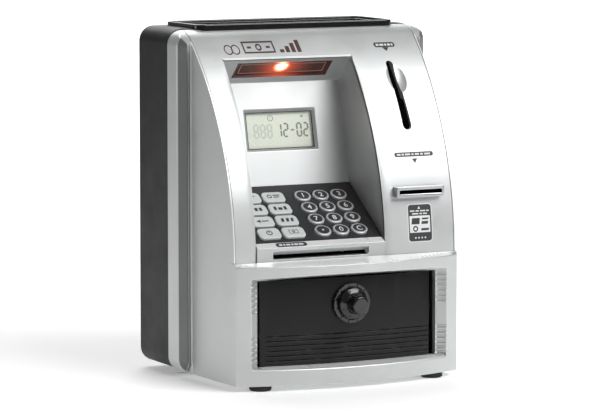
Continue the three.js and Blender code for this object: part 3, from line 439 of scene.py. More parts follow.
# Painted highlight: a pale silver laid where the light catches edges and upward faces.
PAINTED_HIGHLIGHT = plastic("painted_highlight_silver", (0.92, 0.92, 0.92), 0.3, 0.3, grain=1400.0)
PALE = plastic("pale_silver_lacquer", (0.57, 0.585, 0.585), 0.4, 0.72, grain=1400.0, edge_wear_highlight=0.82)
BLACK = plastic(
    "black_textured_plastic", (0.009, 0.0092, 0.0092), 0.44, grain=1100.0, bump=0.1, edge_wear_highlight=0.06, spec=0.28
)
DOOR = plastic(
    "black_door_plastic", (0.007, 0.0072, 0.0072), 0.36, grain=1100.0, bump=0.06, edge_wear_highlight=0.07, spec=0.3
)
GLOSS = plastic("gloss_black_plastic", (0.01, 0.01, 0.011), 0.12, grain=600.0, bump=0.01, edge_wear_highlight=0.05, coat=0.4)
PAD = plastic("keypad_black", (0.024, 0.026, 0.03), 0.4, grain=1600.0, bump=0.05)
KEY_DARK = plastic("key_black_print", (0.03, 0.033, 0.038), 0.4, grain=1600.0, bump=0.04)
KEY_RING = plastic("key_silver_ring", (0.52, 0.54, 0.54), 0.34, 0.3, grain=1600.0, bump=0.03)
KEY_PALE = plastic("key_pale", (0.6, 0.64, 0.63), 0.42, tint=0.03, grain=1600.0, bump=0.04)
PRINT_DARK = plastic("dark_print", (0.035, 0.035, 0.04), 0.5)
PRINT_PALE = plastic("pale_print", (0.72, 0.74, 0.73), 0.5)
PRINT_BROWN = plastic("dark_brown_print", (0.07, 0.025, 0.02), 0.45, tint=0.2)
LED = plastic("led_plastic", (0.8, 0.06, 0.02), 0.2)
INNER = plastic("inner_black_plastic", (0.02, 0.02, 0.02), 0.6, bump=0.1)
RUBBER = plastic("foot_rubber", (0.014, 0.014, 0.014), 0.85, grain=700.0, bump=0.3)
BOARD = plastic("circuit_board", (0.02, 0.14, 0.05), 0.4, tint=0.2, grain=300.0, bump=0.1)
NYLON = plastic("white_nylon", (0.75, 0.74, 0.7), 0.5)
JACKET = plastic("battery_jacket", (0.35, 0.18, 0.04), 0.3, 0.5, grain=300.0)
LCD = plastic("display_ground", (0.74, 0.79, 0.67), 0.3, tint=0.05, grain=2500.0, bump=0.03)
SEGMENT = plastic("display_segment", (0.12, 0.14, 0.12), 0.35)
GHOST = plastic("display_ghost_segment", (0.5, 0.55, 0.48), 0.32)
# Painted highlight for the lens's inner edge.
LENS_EDGE_HIGHLIGHT = plastic("lens_edge_highlight", (0.5, 0.3, 0.24), 0.25)
PANE = plastic("clear_pane", (0.9, 0.92, 0.88), 0.05, tint=0.01, bump=0.0)
PANE.node_tree.nodes["Principled BSDF"].inputs["Alpha"].default_value = 0.1


def metal(name, colour, rough, stretch=(1.0, 1.0, 1.0)):
    """Plated or brushed metal with fine streaks along its longer way."""
    paint = Paint(name)
    stretched = paint.add("Mapping", Vector=paint.place, Scale=stretch).outputs["Vector"]
    streak = paint.noise(900.0, 3.0, place=stretched)
    dull = paint.spread(paint.noise(60.0), 0.0, 1.0)
    return paint.finish(
        Base_Color=paint.blend(dull, tuple(c * 0.86 for c in colour), colour),
        Roughness=paint.spread(streak, rough * 0.8, rough * 1.3),
        Metallic=1.0,
        Normal=paint.bump(streak, 0.03, 0.0001),
    )


CHROME = metal("chrome_plating", (0.5, 0.51, 0.53), 0.14)
STEEL = metal("zinc_steel", (0.55, 0.56, 0.57), 0.34, (1.0, 6.0, 6.0))
LAMP_PLACE = (-0.0195, 0.0055, 0.2215)
GLOW_REACH, CORE_REACH = 0.034, 0.007


def lens_material():
    """Dark red tinted plastic that glows around the lamp behind it. Its lengths are in metres."""
    paint = Paint("red_lens")
    away = paint.maths("VectorMath", "DISTANCE", paint.place, LAMP_PLACE)
    glow = paint.maths("Math", "POWER", paint.spread(away, 1.0, 0.0, 0.0, GLOW_REACH), 2.6)
    core = paint.spread(away, 1.0, 0.0, 0.0, CORE_REACH)
    slow = paint.noise(60.0)
    deep = paint.blend(slow, (0.05, 0.012, 0.01), (0.09, 0.02, 0.015))
    hue = paint.blend(core, (1.0, 0.13, 0.04), (1.0, 0.72, 0.5))
    return paint.finish(
        Base_Color=paint.blend(glow, deep, (0.9, 0.12, 0.04)),
        Emission_Color=paint.blend(glow, (0.02, 0.0, 0.0), hue),
        Emission_Strength=paint.maths("Math", "MULTIPLY_ADD", core, 14.0, glow),
        Roughness=paint.spread(slow, 0.1, 0.2),
    )


LENS = lens_material()

# ------------------------------------------------------------------ front shell


def body_plan(inset, rear_y, bead, steps=48):
    root = ROOT_HALF - inset
    edge = bowed_edge(body_half(CORNER_Y) - inset, CORNER_Y + inset, BOW, steps)
    side = [
        (root, FLANGE_Y - BEAD_WIDTH - BEAD_HEIGHT),
        (root + bead, FLANGE_Y - BEAD_WIDTH),
        (root + bead, rear_y),
    ]
    return edge + side + [(-x, y) for x, y in reversed(side)]


def side_fill(inset):
    """The side outline of the whole front shell: lower box, fascia, brow and flat top, pushed across."""
    if inset:
        ledge = LEDGE_FRONT_Z - inset
        over = [p for p in body_outline(inset, ledge, 60.0)[:-2] if p[1] > LEDGE_BACK_Z]
        over += [(SHELF_BACK_Y, LEDGE_BACK_Z), (SHELF_BACK_Y, ledge)]
    else:
        ledge = LEDGE_BACK_Z
        over = body_outline(inset, ledge, 60.0)[:-1]
        over[-1] = (over[-1][0], ledge)
    return prism(over + [(-95.0, ledge), (-95.0, 0.0), (60.0, 0.0)], "x", -110.0, 110.0)


def shell_fill(inset, rear_y):
    half = HALF_WIDTH - inset
    z0, z1 = BASE_Z + inset, TOP_Z - inset
    front = FLANGE_Y + inset if inset else FLANGE_Y - FLANGE_LEAD
    bevel = 0.0 if inset else FLANGE_BEVEL
    flange = slab(half, z0, z1, SHELL_CORNER - inset, front, rear_y, bevel, 0.0, 10, 1)
    body = prism(body_plan(inset, FLANGE_Y + 6, 0.0 if inset else BEAD_HEIGHT), "z", z0, z1)
    return meet(join(body, flange), side_fill(inset))


def above_ledge():
    """What is cut away over the ledge, which slopes down to its bowed front edge."""
    back = FASCIA_Y - GAP
    loops = []
    for x, y in bowed_edge(body_half(CORNER_Y) + 0.02, CORNER_Y, BOW):
        row = [(back, LEDGE_BACK_Z), (y, LEDGE_FRONT_Z), (y - 4, LEDGE_FRONT_Z)]
        row += [(y - 4, LEDGE_BACK_Z + 4), (back, LEDGE_BACK_Z + 4)]
        loops.append([(x, b, c) for b, c in row])
    return loft("above_ledge", loops)


FLARE_DEPTH = 5.1
FLARE_SIDE = 7.3 / FLARE_DEPTH
FLARE_TOP = 0.18
FLARE_SILL = 0.06


def flare(grow, rear_y):
    """The mouth round the door, widening towards the front."""

    def at(y):
        depth = y - OPENING_Y
        x = OPENING_HALF + grow - FLARE_SIDE * depth
        z0 = OPENING_Z0 - grow + FLARE_SILL * depth
        z1 = OPENING_Z1 + 0.4 + grow - FLARE_TOP * depth
        return [(-x, y, z0), (x, y, z0), (x, y, z1), (-x, y, z1)]

    return loft("flare", [at(-80.0), at(rear_y)])


FLUTE_PITCH, FLUTE_ROWS, FLUTE_HEIGHT, FLUTE_DEPTH = 3.75, 6, 1.8, 2.0


def flutes():
    """Short grooves down both slanting sides of the mouth, in an upper and a lower group."""
    reach = 5.4
    back, front, inner = OPENING_Y - 0.3, OPENING_Y - reach, OPENING_HALF - 1
    plan = [
        (inner, back),
        (OPENING_HALF + FLUTE_DEPTH, back),
        (OPENING_HALF + 0.3 + FLARE_SIDE * reach, front),
        (inner + FLARE_SIDE * reach, front),
    ]
    made = []
    for first in (18.3, 56.4):
        for i in range(FLUTE_ROWS):
            z = first + i * FLUTE_PITCH
            for sign in (-1, 1):
                outline = [(sign * x, y) for x, y in plan]
                made.append(prism(outline, "z", z - FLUTE_HEIGHT / 2, z + FLUTE_HEIGHT / 2))
    return together(*made)


def mouth_bevel(size):
    """A chamfer along the foot of the door's mouth, following the bowed front."""
    reach = OPENING_HALF + FLARE_SIDE * FLARE_DEPTH
    level = OPENING_Z0 - 0.3
    near, tip = level - (size + 1.0), level + 0.4
    loops = []
    for x, y in bowed_edge(body_half(CORNER_Y), CORNER_Y, BOW, 64):
        if abs(x) <= reach:
            loops.append([(x, y - 1.0, tip), (x, y + size + 0.4, tip), (x, y - 1.0, near)])
    return loft("bevel", loops)


def tray_hole():
    return prism(rounded(-75.8, 75.8, 24.7, 74.3, 5.0), "z", 240.0, 256.0)


def flange_shade_bands():
    """A darker band down the slanting front of each flange: painted shade, a dark sheet standing in for the dark
    reflection on that face.
    """
    y0 = FLANGE_Y - FLANGE_LEAD
    y1 = y0 + FLANGE_BEVEL - 0.9
    inset = 0.76
    size = (HALF_WIDTH - inset, BASE_Z + inset, TOP_Z - inset, SHELL_CORNER - inset)
    band = slab(*size, y0 - 0.02, y1, y1 - y0, 0.0, 10, 1)
    cut(band, slab(*size, y0 + 0.5, y1 + 1.0, y1 - y0 + 0.5, 0.0, 10, 1))
    spans = ((-101, -93.7), (-93.1, -91.75), (91.75, 93.1), (93.7, 101))
    meet(band, together(*[block(a, b, 0, 20, 0, 300) for a, b in spans]))
    meet(band, side_fill(0.0))
    settle(smooth(band), "flange_shade_band", "case", PAINTED_SHADE_SILVER, "silver_shell")


def fascia_rim_highlights():
    """Painted highlight: pale strips along the edges of the housing on both sides of the fascia, where the light
    catches them.
    """
    far, near = body_half(-85.0), body_half(FLANGE_Y)
    plan = [(far - 0.95, -85.0), (far - 0.15, -85.0), (near - 0.15, FLANGE_Y), (near - 0.95, FLANGE_Y)]
    pieces = []
    for sign in (-1, 1):
        edge = prism([(sign * x, y) for x, y in plan], "z", FASCIA_FOOT_Z + 1, 243.0)
        meet(edge, body_solid(-0.1, FASCIA_FOOT_Z))
        pieces.append(cut(edge, body_solid(0.4, FASCIA_FOOT_Z - 20)))
    settle(smooth(together(*pieces)), "fascia_rim_highlight", "case", PAINTED_HIGHLIGHT, "silver_shell")


def upward_highlights():
    """Painted highlight on the upward faces: pale sheets on the ledge, the sill of the mouth and the lip over
    the console, which the light from above makes bright.
    """
    ledge, sill = [], []
    back, low, sill_back = FASCIA_Y - GAP - 0.1, LEDGE_BACK_Z - 0.4, OPENING_Y - 0.5
    for x, y in bowed_edge(body_half(CORNER_Y) - 0.6, CORNER_Y, BOW):
        front = min(y + 0.7, back - 0.2)
        row = [(back, LEDGE_BACK_Z + 0.12), (front, LEDGE_FRONT_Z + 0.14), (front, low - 2), (back, low)]
        ledge.append([(x, b, c) for b, c in row])
        if abs(x) < OPENING_HALF:
            near = min(y + 2.1, OPENING_Y - 0.7)
            z0, z1 = (OPENING_Z0 + FLARE_SILL * (b - OPENING_Y) + 0.1 for b in (sill_back, y + 2.1))
            row = [(sill_back, z0), (near, z1), (near, z1 - 0.4), (sill_back, z0 - 0.4)]
            sill.append([(x, b, c) for b, c in row])
    level = CEILING_FRONT[1]
    top = prism(rounded(LEFT - 0.2, RIGHT + 0.2, level - 0.5, level + 0.9, 0.6, 4), "y", -9, 3)
    top = cut(meet(top, body_solid(-0.25, FASCIA_FOOT_Z)), body_solid(0.9, FASCIA_FOOT_Z - 20))
    pieces = together(loft("ledge", ledge), loft("sill", sill), top)
    settle(smooth(pieces), "upward_highlights", "case", PAINTED_HIGHLIGHT, "silver_shell")


def front_housing():
    outside = cut(shell_fill(0.0, PARTING_Y), above_ledge())
    shell = cut(outside, shell_fill(WALL, PARTING_Y + 1))
    seat_front = FASCIA_Y - GAP
    front, root = body_half(seat_front) - 1.0, body_half(FLANGE_Y) - 1.0
    seat = [(-front, seat_front), (front, seat_front), (root, FLANGE_Y), (root, FASCIA_END_Y + GAP)]
    seat += [(-root, FASCIA_END_Y + GAP), (-root, FLANGE_Y)]
    rebate = cut(prism(seat, "z", FASCIA_FOOT_Z - GAP, TOP_Z + 5), body_solid(WALL + GAP, 80.0))
    cut(shell, rebate)
    sleeve_rear = -55.2
    outer = OPENING_HALF + WALL
    sleeve = block(-outer, outer, OPENING_Y, sleeve_rear, OPENING_Z0 - WALL, OPENING_Z1 + WALL)
    frame_solid = meet(
        join(flare(WALL, OPENING_Y + 1), sleeve),
        cut(shell_fill(0.0, PARTING_Y), above_ledge()),
    )
    join(shell, frame_solid)
    doorway = block(-OPENING_HALF, OPENING_HALF, -70, -40, OPENING_Z0, OPENING_Z1)
    cut(shell, flare(0.0, OPENING_Y), doorway, flutes(), tray_hole())
    cut(shell, mouth_bevel(1.5))
    return settle(soften(shell, 0.55, 3), "front_shell", "case", SILVER, "silver_shell", "front_housing")


# ------------------------------------------------------------------ curved fascia

SLOT_X, SLOT_Z0, SLOT_Z1, SLOT_TOP, SLOT_FOOT = 60.0, 177.8, 225.6, 5.0, 6.4
SCOOP_Z = 213.5


def coin_slot(grow=0.0):
    points = []
    ends = ((SLOT_Z1 - SLOT_TOP / 2, SLOT_TOP / 2, 0), (SLOT_Z0 + SLOT_FOOT / 2, SLOT_FOOT / 2, 180))
    for z, r, start in ends:
        for i in range(13):
            t = math.radians(start + 15 * i)
            points.append((SLOT_X + (r + grow) * math.cos(t), z + (r + grow) * math.sin(t)))
    return prism(points, "y", -80.0, 30.0)


def dish(x, z, wide, tall, depth):
    """An ellipsoid that cuts a shallow dish of that half width and half height into the fascia."""
    radius = (wide * wide + depth * depth) / (2 * depth)
    made = put("dish", bpy.data.meshes.new("dish"))
    with editing(made.data) as edit:
        bmesh.ops.create_uvsphere(edit, u_segments=72, v_segments=48, radius=radius)
    lean = math.asin((z - FASCIA_START_Z) / FASCIA_RADIUS)
    out = radius - depth
    place = Matrix.Translation((x, fascia_at(z) - out * math.cos(lean), z + out * math.sin(lean)))
    turn = Matrix.Rotation(-lean, 4, "X")
    stretch = Matrix.Diagonal((1.0, 1.0, tall / wide, 1.0))
    return move(made, place @ turn @ stretch)


ROLL, ROLL_DEPTH = 7.0, 1.1


def roll_edges(skin):
    """Rolls the fascia gently inwards beside the console opening."""
    with editing(skin.data) as edit:
        for side, out in ((LEFT, -1), (RIGHT, 1)):
            for step in (0.7, 1.4, 2.2, 3.0, 4.0, 5.0, 6.0, 7.0):
                slice_at(edit, (side + out * step, 0, 0), (1, 0, 0))
        for level in range(205, 246, 4):
            slice_at(edit, (0, 0, level), (0, 0, 1))
        for v in edit.verts:
            away = max(LEFT - v.co.x, v.co.x - RIGHT)
            if -0.6 < away < ROLL:
                near = 1 - max(0.0, away) / ROLL
                fade = min(1.0, max(0.0, (CEILING_FRONT[1] + 4 - v.co.z) / 24))
                v.co.y += ROLL_DEPTH * near * near * fade * fade * (3 - 2 * fade)


def fascia():
    root = body_half(FLANGE_Y) - 1.0 - GAP
    far = body_half(-95.0) - 1.0 - GAP
    plan = [(-far, -95.0), (far, -95.0), (root, FLANGE_Y), (root, FASCIA_END_Y)]
    plan += [(-root, FASCIA_END_Y), (-root, FLANGE_Y)]
    skin = meet(prism(plan, "z", FASCIA_FOOT_Z, TOP_Z + 5), body_solid(0.0, FASCIA_FOOT_Z))
    cut(skin, body_solid(WALL, FASCIA_FOOT_Z - 20))
    pad = meet(rod("y", SLOT_X + 1.2, SCOOP_Z, 15.0, -40.0, 8.0), body_solid(0.5, FASCIA_FOOT_Z))
    cut(pad, body_solid(WALL + 2.6, FASCIA_FOOT_Z - 20))
    join(skin, pad)
    hollow = [(-90, FASCIA_FOOT_Z - 5), (-90, CEILING_FRONT[1]), CEILING_FRONT, CEILING_REAR]
    cut(skin, prism(hollow + [(30, 199.4), (30, FASCIA_FOOT_Z - 5)], "x", LEFT, RIGHT))
    cut(skin, dish(SLOT_X + 1.9, SCOOP_Z, 7.4, 13.2, 2.3), coin_slot())
    cut(skin, block(40.5, 78.5, -70, -40, 131.3, 138.3))
    soften(skin, 0.5, 4)
    roll_edges(skin)
    return settle(smooth(skin), "fascia_skin", "case", SILVER, "silver_shell", "fascia_panel")


# ------------------------------------------------------------------ sloped places


def slope(start, end):
    """A frame with its origin on the side outline, its Y up the slope and its Z out of the surface."""
    angle = math.atan2(end[1] - start[1], end[0] - start[0])
    return Matrix.Translation((0, start[0], start[1])) @ Matrix.Rotation(angle, 4, "X")


DECK = slope(DECK_FOOT, PANEL_FOOT)
PANEL = slope(PANEL_FOOT, CEILING_REAR)
CEILING = slope(CEILING_REAR, CEILING_FRONT)
DECK_LENGTH = math.dist(DECK_FOOT, PANEL_FOOT)
PANEL_LENGTH = math.dist(PANEL_FOOT, CEILING_REAR)
CEILING_LENGTH = math.dist(CEILING_REAR, CEILING_FRONT)
DISPLAY_BOX = (-47.5, 9.8, 24.0, 54.8)
LAMP_BOX = (-57.1, 18.8, 5.8, 22.9)
BEVEL = 1.9


def window_cut(box):
    """A window opening, straight behind and bevelled wider towards its face."""
    x0, x1, v0, v1 = box
    loops = []
    for grow, z in ((-BEVEL, -6.0), (-BEVEL, -BEVEL), (0.0, 0.0), (0.4, 0.4)):
        loops.append([(a, b, z) for a, b in rounded(x0 - grow, x1 + grow, v0 - grow, v1 + grow, 0.5, 3)])
    return loft("window", loops)


def console():
    front = 0.9
    arc = [97.0 + 135.0 * i / 48 for i in range(49)]
    side = [(fascia_at(z, front), z) for z in arc]
    side += [(CEILING_REAR[0] + INSERT_WALL, CEILING_REAR[1] + INSERT_WALL)]
    side += [(PANEL_FOOT[0] + INSERT_WALL, PANEL_FOOT[1] - 6), (DECK_FOOT[0] + 6, 97.0)]
    cheeks = together(
        prism(side, "x", LEFT - INSERT_WALL, LEFT),
        prism(side, "x", RIGHT, RIGHT + INSERT_WALL),
    )
    x0, x1 = LEFT - INSERT_WALL, RIGHT + INSERT_WALL
    roof = move(block(x0, x1, 0, CEILING_LENGTH + 8, -INSERT_WALL, 0), CEILING)
    back = move(block(x0, x1, -1.2, PANEL_LENGTH + 1.5, -INSERT_WALL, 0), PANEL)
    shell = meet(join(roof, back), body_solid(front, 60.0))
    join(shell, cheeks)
    cut(shell, move(window_cut(DISPLAY_BOX), PANEL), move(window_cut(LAMP_BOX), CEILING))
    return settle(soften(shell, 0.3, 2), "console_shell", "case", PALE, "pale_silver", "console_insert")


def behind(box, near, far, frame_matrix):
    """A plate 1 mm larger all round than a window, between two depths behind it."""
    x0, x1, v0, v1 = box
    return move(block(x0 - 1.0, x1 + 1.0, v0 - 1.0, v1 + 1.0, far, near), frame_matrix)


def windows():
    pane = soften(behind(DISPLAY_BOX, -2.3, -3.7, PANEL), 0.2, 2)
    settle(pane, "display_pane", "case", PANE, "clear_window", "display_window")
    glass = soften(behind(DISPLAY_BOX, -4.0, -9.0, PANEL), 0.2, 2)
    settle(glass, "display_ground", "case", LCD, "display", "display_module")
    x0, x1, v0, v1 = LAMP_BOX
    rims = []
    for inset, z in ((0.1, -3.6), (0.1, -0.1), (2.9, -1.9)):
        rims.append([(a, b, z) for a, b in rounded(x0 + inset, x1 - inset, v0 + inset, v1 - inset, 0.3, 3)])
    settle(smooth(move(loft("lens", rims), CEILING)), "lamp_window", "case", LENS, "lens", "lamp_lens")
    # Painted highlight: thin pale lines round the inner edge of the lens, where the light catches it.
    left, right, low, high = x0 + 4.6, x1 - 3.4, v0 + 3.5, v1 - 4.6
    spans = ((left, right, v0 + 3.0, low), (left, right, high, v1 - 4.1))
    spans += ((left, x0 + 5.1, low, high), (x1 - 3.9, right, low, high))
    lines = [block(*span, -2.0, -1.78) for span in spans]
    settle(move(together(*lines), CEILING), "lamp_window_edge_highlight", "case", LENS_EDGE_HIGHLIGHT, "lens")


def shadow_frame():
    """A dark frame between the display's pane and its window: painted shade standing in for the shadow gap round
    the pane.
    """
    x0, x1, v0, v1 = (edge + step for edge, step in zip(DISPLAY_BOX, (1.8, -1.8, 1.8, -1.8)))
    border = block(x0, x1, v0, v1, -2.25, -1.85)
    cut(border, block(x0 + 0.75, x1 - 0.75, v0 + 0.75, v1 - 0.75, -3, 0))
    settle(move(soften(border, 0.08, 2), PANEL), "display_shadow_frame", "case", PRINT_DARK, "inner_black")


# ------------------------------------------------------------------ display segments

LIT = {"0": "abcdef", "1": "bc", "2": "abged", "8": "abcdefg", "-": "g"}
MARK = (-3.99, -3.93)
STROKE_GAP = 0.12


def segments(text, x, v, wide, tall, step, thick):
    """Seven-segment characters with their lower left corner at x, v."""
    made = []
    half = thick / 2

    def stroke(a, b):
        """An upright or level bar with pointed ends."""
        upright = a[0] == b[0]
        low, high, across = (a[1], b[1], a[0]) if upright else (a[0], b[0], a[1])
        near, far = low + half + STROKE_GAP, high - half - STROKE_GAP
        along = (low + STROKE_GAP, near, far, high - STROKE_GAP, far, near)
        pairs = zip(along, (0.0, half, half, 0.0, -half, -half))
        made.append(prism([(across + w, s) if upright else (s, across - w) for s, w in pairs], "z", *MARK))

    for i, letter in enumerate(text):
        left = x + i * step
        right, mid, top = left + wide, v + tall / 2, v + tall
        ends = {
            "a": ((left, top), (right, top)),
            "b": ((right, mid), (right, top)),
            "c": ((right, v), (right, mid)),
            "d": ((left, v), (right, v)),
            "e": ((left, v), (left, mid)),
            "f": ((left, mid), (left, top)),
            "g": ((left, mid), (right, mid)),
        }
        for key in LIT[letter]:
            stroke(*ends[key])
    return made


def flat_ring(x, v, outer, inner, z0, z1, n=28):
    return cut(rod("z", x, v, outer, z0, z1, n), rod("z", x, v, inner, z0 - 1, z1 + 1, n))


def display_marks():
    dark = segments("12-02", -20.2, 34.8, 3.3, 9.4, 5.4, 1.35)
    clock = flat_ring(-24.8, 48.6, 2.3, 1.8, *MARK)
    hand = block(-25.0, -24.6, 48.4, 50.0, *MARK)
    mark = block(-0.4, 1.6, 48.7, 49.9, *MARK)
    lit = move(together(*dark, clock, hand, mark), PANEL)
    settle(lit, "display_digits", "case", SEGMENT, "display")
    pale = move(together(*segments("888", -38.6, 34.4, 3.3, 9.4, 5.4, 1.3)), PANEL)
    settle(pale, "display_ghosts", "case", GHOST, "display")


# ------------------------------------------------------------------ keypad

DIGIT_HALF, MENU_HALF = (6.4, 5.6), (8.7, 5.5)
DIGIT_ROWS = (
    (("key_1", "1"), ("key_2", "2"), ("key_3", "3")),
    (("key_4", "4"), ("key_5", "5"), ("key_6", "6")),
    (("key_7", "7"), ("key_8", "8"), ("key_9", "9")),
    (("key_point", "."), ("key_0", "0"), ("key_clear", "C")),
)


PRINT = (1.5, 1.66)


def row_v(from_top):
    return 8.5 + 13.0 * (3 - from_top)


def digit_x(column):
    return -12.8 + 14.5 * column


def menu_x(column):
    return -55.3 + 19.1 * column


def digit_shape(grow, n=48):
    return oval(DIGIT_HALF[0] + grow, DIGIT_HALF[1] + grow, n)


def menu_shape(grow, n=6):
    a, b = MENU_HALF[0] + grow, MENU_HALF[1] + grow
    return rounded(-a, a, -b, b, 3.4 + grow, n)


def key_cap(shape):
    """A cap with a rounded edge and a slightly sunk top."""
    loops = []
    rows = ((0.6, -3.4), (0.6, -2.75), (0.0, -2.7), (0.0, 0.85), (-0.12, 1.2), (-0.4, 1.45), (-0.85, 1.58))
    for grow, z in rows + ((-1.3, 1.6), (-1.7, 1.56)):
        loops.append([(a, b, z) for a, b in shape(grow)])
    return smooth(loft("cap", loops), 50.0)


def lettering(text, size, fat):
    """A thin printed character, centred on the origin."""
    curve = bpy.data.curves.new("text", "FONT")
    curve.body = text
    curve.size = size
    curve.align_x = "CENTER"
    curve.align_y = "CENTER"
    curve.extrude = 0.04
    curve.offset = fat
    curve.resolution_u = 6
    source = put("text", curve)
    graph = bpy.context.evaluated_depsgraph_get()
    mesh = bpy.data.meshes.new_from_object(source.evaluated_get(graph))
    bpy.data.objects.remove(source)
    bpy.data.curves.remove(curve)
    with editing(mesh) as edit:
        bmesh.ops.remove_doubles(edit, verts=edit.verts, dist=1e-3)
        for axis in (0, 1):
            places = [v.co[axis] for v in edit.verts]
            middle = (min(places) + max(places)) / 2
            for v in edit.verts:
                v.co[axis] -= middle
    return put("text", mesh)


def digit_keys():
    for from_top, row in enumerate(DIGIT_ROWS):
        for column, (name, letter) in enumerate(row):
            place = DECK @ Matrix.Translation((digit_x(column), row_v(from_top), 0))
            settle(move(key_cap(digit_shape), place), name + "_cap", name, KEY_RING, "key_black", name)
            face = prism(digit_shape(-1.55), "z", 1.45, 1.63)
            settle(smooth(move(face, place)), name + "_face", name, KEY_DARK, "key_black")
            if letter == ".":
                mark = rod("z", 0, 0, 0.75, 1.6, 1.68, 20)
            else:
                mark = move(lettering(letter, 6.5, 0.07), Matrix.Translation((0, 0, 1.64)))
            settle(move(mark, place), name + "_mark", name, PRINT_PALE, "key_black")


def strip(x0, x1, v0, v1, lean=0.0):
    return prism([(x0, v0), (x1, v0), (x1 + lean, v1), (x0 + lean, v1)], "z", *PRINT)


def arrow(x, v, size, sign):
    blunt, tip = x - sign * size, x + sign * size
    return prism([(blunt, v - size), (tip, v), (blunt, v + size)], "z", *PRINT)


def printed_ring(x, v, outer, inner):
    return flat_ring(x, v, outer, inner, *PRINT, 24)


def menu_marks():
    """A plain pictogram for each wide key, from the top row down, left then right."""
    note = [strip(-3.6, 3.6, 1.5, 1.9), strip(-3.6, 3.6, -1.9, -1.5), strip(-3.6, -3.2, -1.4, 1.4)]
    return (
        [strip(-4.2, 4.2, 0.9, 1.9), strip(-4.2, 2.2, -1.5, -0.5)],
        [printed_ring(-3.2, 0.5, 1.9, 1.2), strip(-0.2, 5.2, 1.0, 2.0), strip(-0.2, 4.0, -1.0, -0.1)],
        [strip(x0, x1, -1.7, 1.7) for x0, x1 in ((-4.6, -2.4), (-1.2, 1.2), (2.4, 4.6))],
        [strip(-5.0, -2.9, -1.7, 1.9), strip(-1.6, 1.6, -1.7, 0.9), strip(2.9, 5.0, -1.7, 1.9)],
        [arrow(-3.4, 0, 1.6, -1), strip(-0.8, 4.6, -0.5, 0.5)],
        [strip(x0, x1, -1.8, 1.8, 0.6) for x0, x1 in ((-4.8, -2.6), (-0.9, 1.3), (2.8, 4.8))],
        [printed_ring(0, 0, 2.4, 1.7), strip(-0.3, 0.3, 0.0, 1.4)],
        note + [strip(3.2, 3.6, -1.4, 1.4), printed_ring(0, 0, 1.1, 0.6)],
    )


def menu_keys():
    for i, marks in enumerate(menu_marks()):
        name = f"menu_key_{i + 1}"
        place = DECK @ Matrix.Translation((menu_x(i % 2), row_v(i // 2), 0))
        settle(move(key_cap(menu_shape), place), name + "_cap", name, KEY_PALE, "menu_key", name)
        settle(move(together(*marks), place), name + "_mark", name, PRINT_DARK, "menu_key")


def keypad():
    plate = block(LEFT + GAP, RIGHT - GAP, 0.4, DECK_LENGTH - 1.6, -WALL, 0)
    holes = []
    for from_top in range(4):
        shapes = [(digit_x(column), digit_shape(0.4, 40)) for column in range(3)]
        shapes += [(menu_x(column), menu_shape(0.4)) for column in range(2)]
        for x, shape in shapes:
            holes.append(prism([(a + x, b + row_v(from_top)) for a, b in shape], "z", -5, 3))
    cut(plate, together(*holes))
    settle(move(soften(plate, 0.18, 2), DECK), "keypad_face", "case", PAD, "black_case", "keypad_plate")
    digit_keys()
    menu_keys()


# ------------------------------------------------------------------ note slot and card slot


NOTE_LIP_Z, NOTE_BAR_TOP = 100.2, 103.2


def bill_bar():
    rear = DECK_FOOT[0] - GAP
    section = [(FASCIA_Y, FASCIA_FOOT_Z), (rear, FASCIA_FOOT_Z), (rear, NOTE_BAR_TOP), (FASCIA_Y, NOTE_LIP_Z)]
    bar = prism(section, "x", LEFT + GAP, RIGHT - GAP)
    pocket = prism([(-58.6, 98.9), (-58.6, 93.0), (-54.6, 93.0), (-54.6, 94.9)], "x", -57.8, 18.0)
    cut(bar, block(-57.4, 17.0, -70, -40, 92.0, 94.9), pocket)
    settle(soften(bar, 0.35, 3), "note_bar", "case", PALE, "pale_silver", "bill_slot_bar")
    lean = math.atan2(NOTE_BAR_TOP - NOTE_LIP_Z, rear - FASCIA_Y)
    lip = Matrix.Translation((0, FASCIA_Y, NOTE_LIP_Z)) @ Matrix.Rotation(lean, 4, "X")
    # Painted highlight: a pale sheet over the note bar's sloping lip, which the light from above makes bright.
    face = prism(rounded(LEFT + 1.0, RIGHT - 1.0, 0.35, 5.75, 0.5, 4), "z", -0.1, 0.06)
    settle(move(face, lip), "note_bar_lip_highlight", "case", PAINTED_HIGHLIGHT, "pale_silver")
    pill = prism(rounded(-54.5, -30.2, 0.6, 5.2, 2.1, 7), "z", -0.1, 0.12)
    settle(move(pill, lip), "note_label", "case", PRINT_DARK, "pale_silver")
    spans = ((-52.2, 2.6), (-48.8, 1.5), (-46.6, 3.2), (-42.6, 1.7), (-40.2, 2.9), (-36.6, 3.6))
    dashes = [block(a, a + w, 2.0, 3.7, 0.0, 0.18) for a, w in spans]
    settle(move(together(*dashes), lip), "note_label_marks", "case", PRINT_PALE, "pale_silver")


def card_bezel():
    face = prism(rounded(40.1, 78.4, 130.9, 138.6, 1.2, 6), "y", -58.8, -45.0)
    cut(face, body_solid(-GAP * 0.5, 100.0))
    tongue = block(41.8, 77.2, -57, -30, 132.6, 137.0)
    bezel = cut(join(face, tongue), block(42.4, 76.6, -70, -20, 133.4, 136.2))
    settle(soften(bezel, 0.4, 3), "card_frame", "case", CHROME, "chrome", "card_slot_bezel")


# ------------------------------------------------------------------ door and dial

RIDGE_ROWS = [20.2 + 3.48 * i for i in range(6)]
RIDGE_START = 66.0  # the V grooves end this far left of the middle, short of the pins
HINGE = (-66, -57.6)


def door_band(front, back, half):
    edge = [(x, y) for x, y in bowed_edge(DOOR_HALF, OPENING_Y, DOOR_BOW, 56) if abs(x) <= half + 1e-6]
    return [(x, y + front) for x, y in edge] + [(x, y + back) for x, y in reversed(edge)]


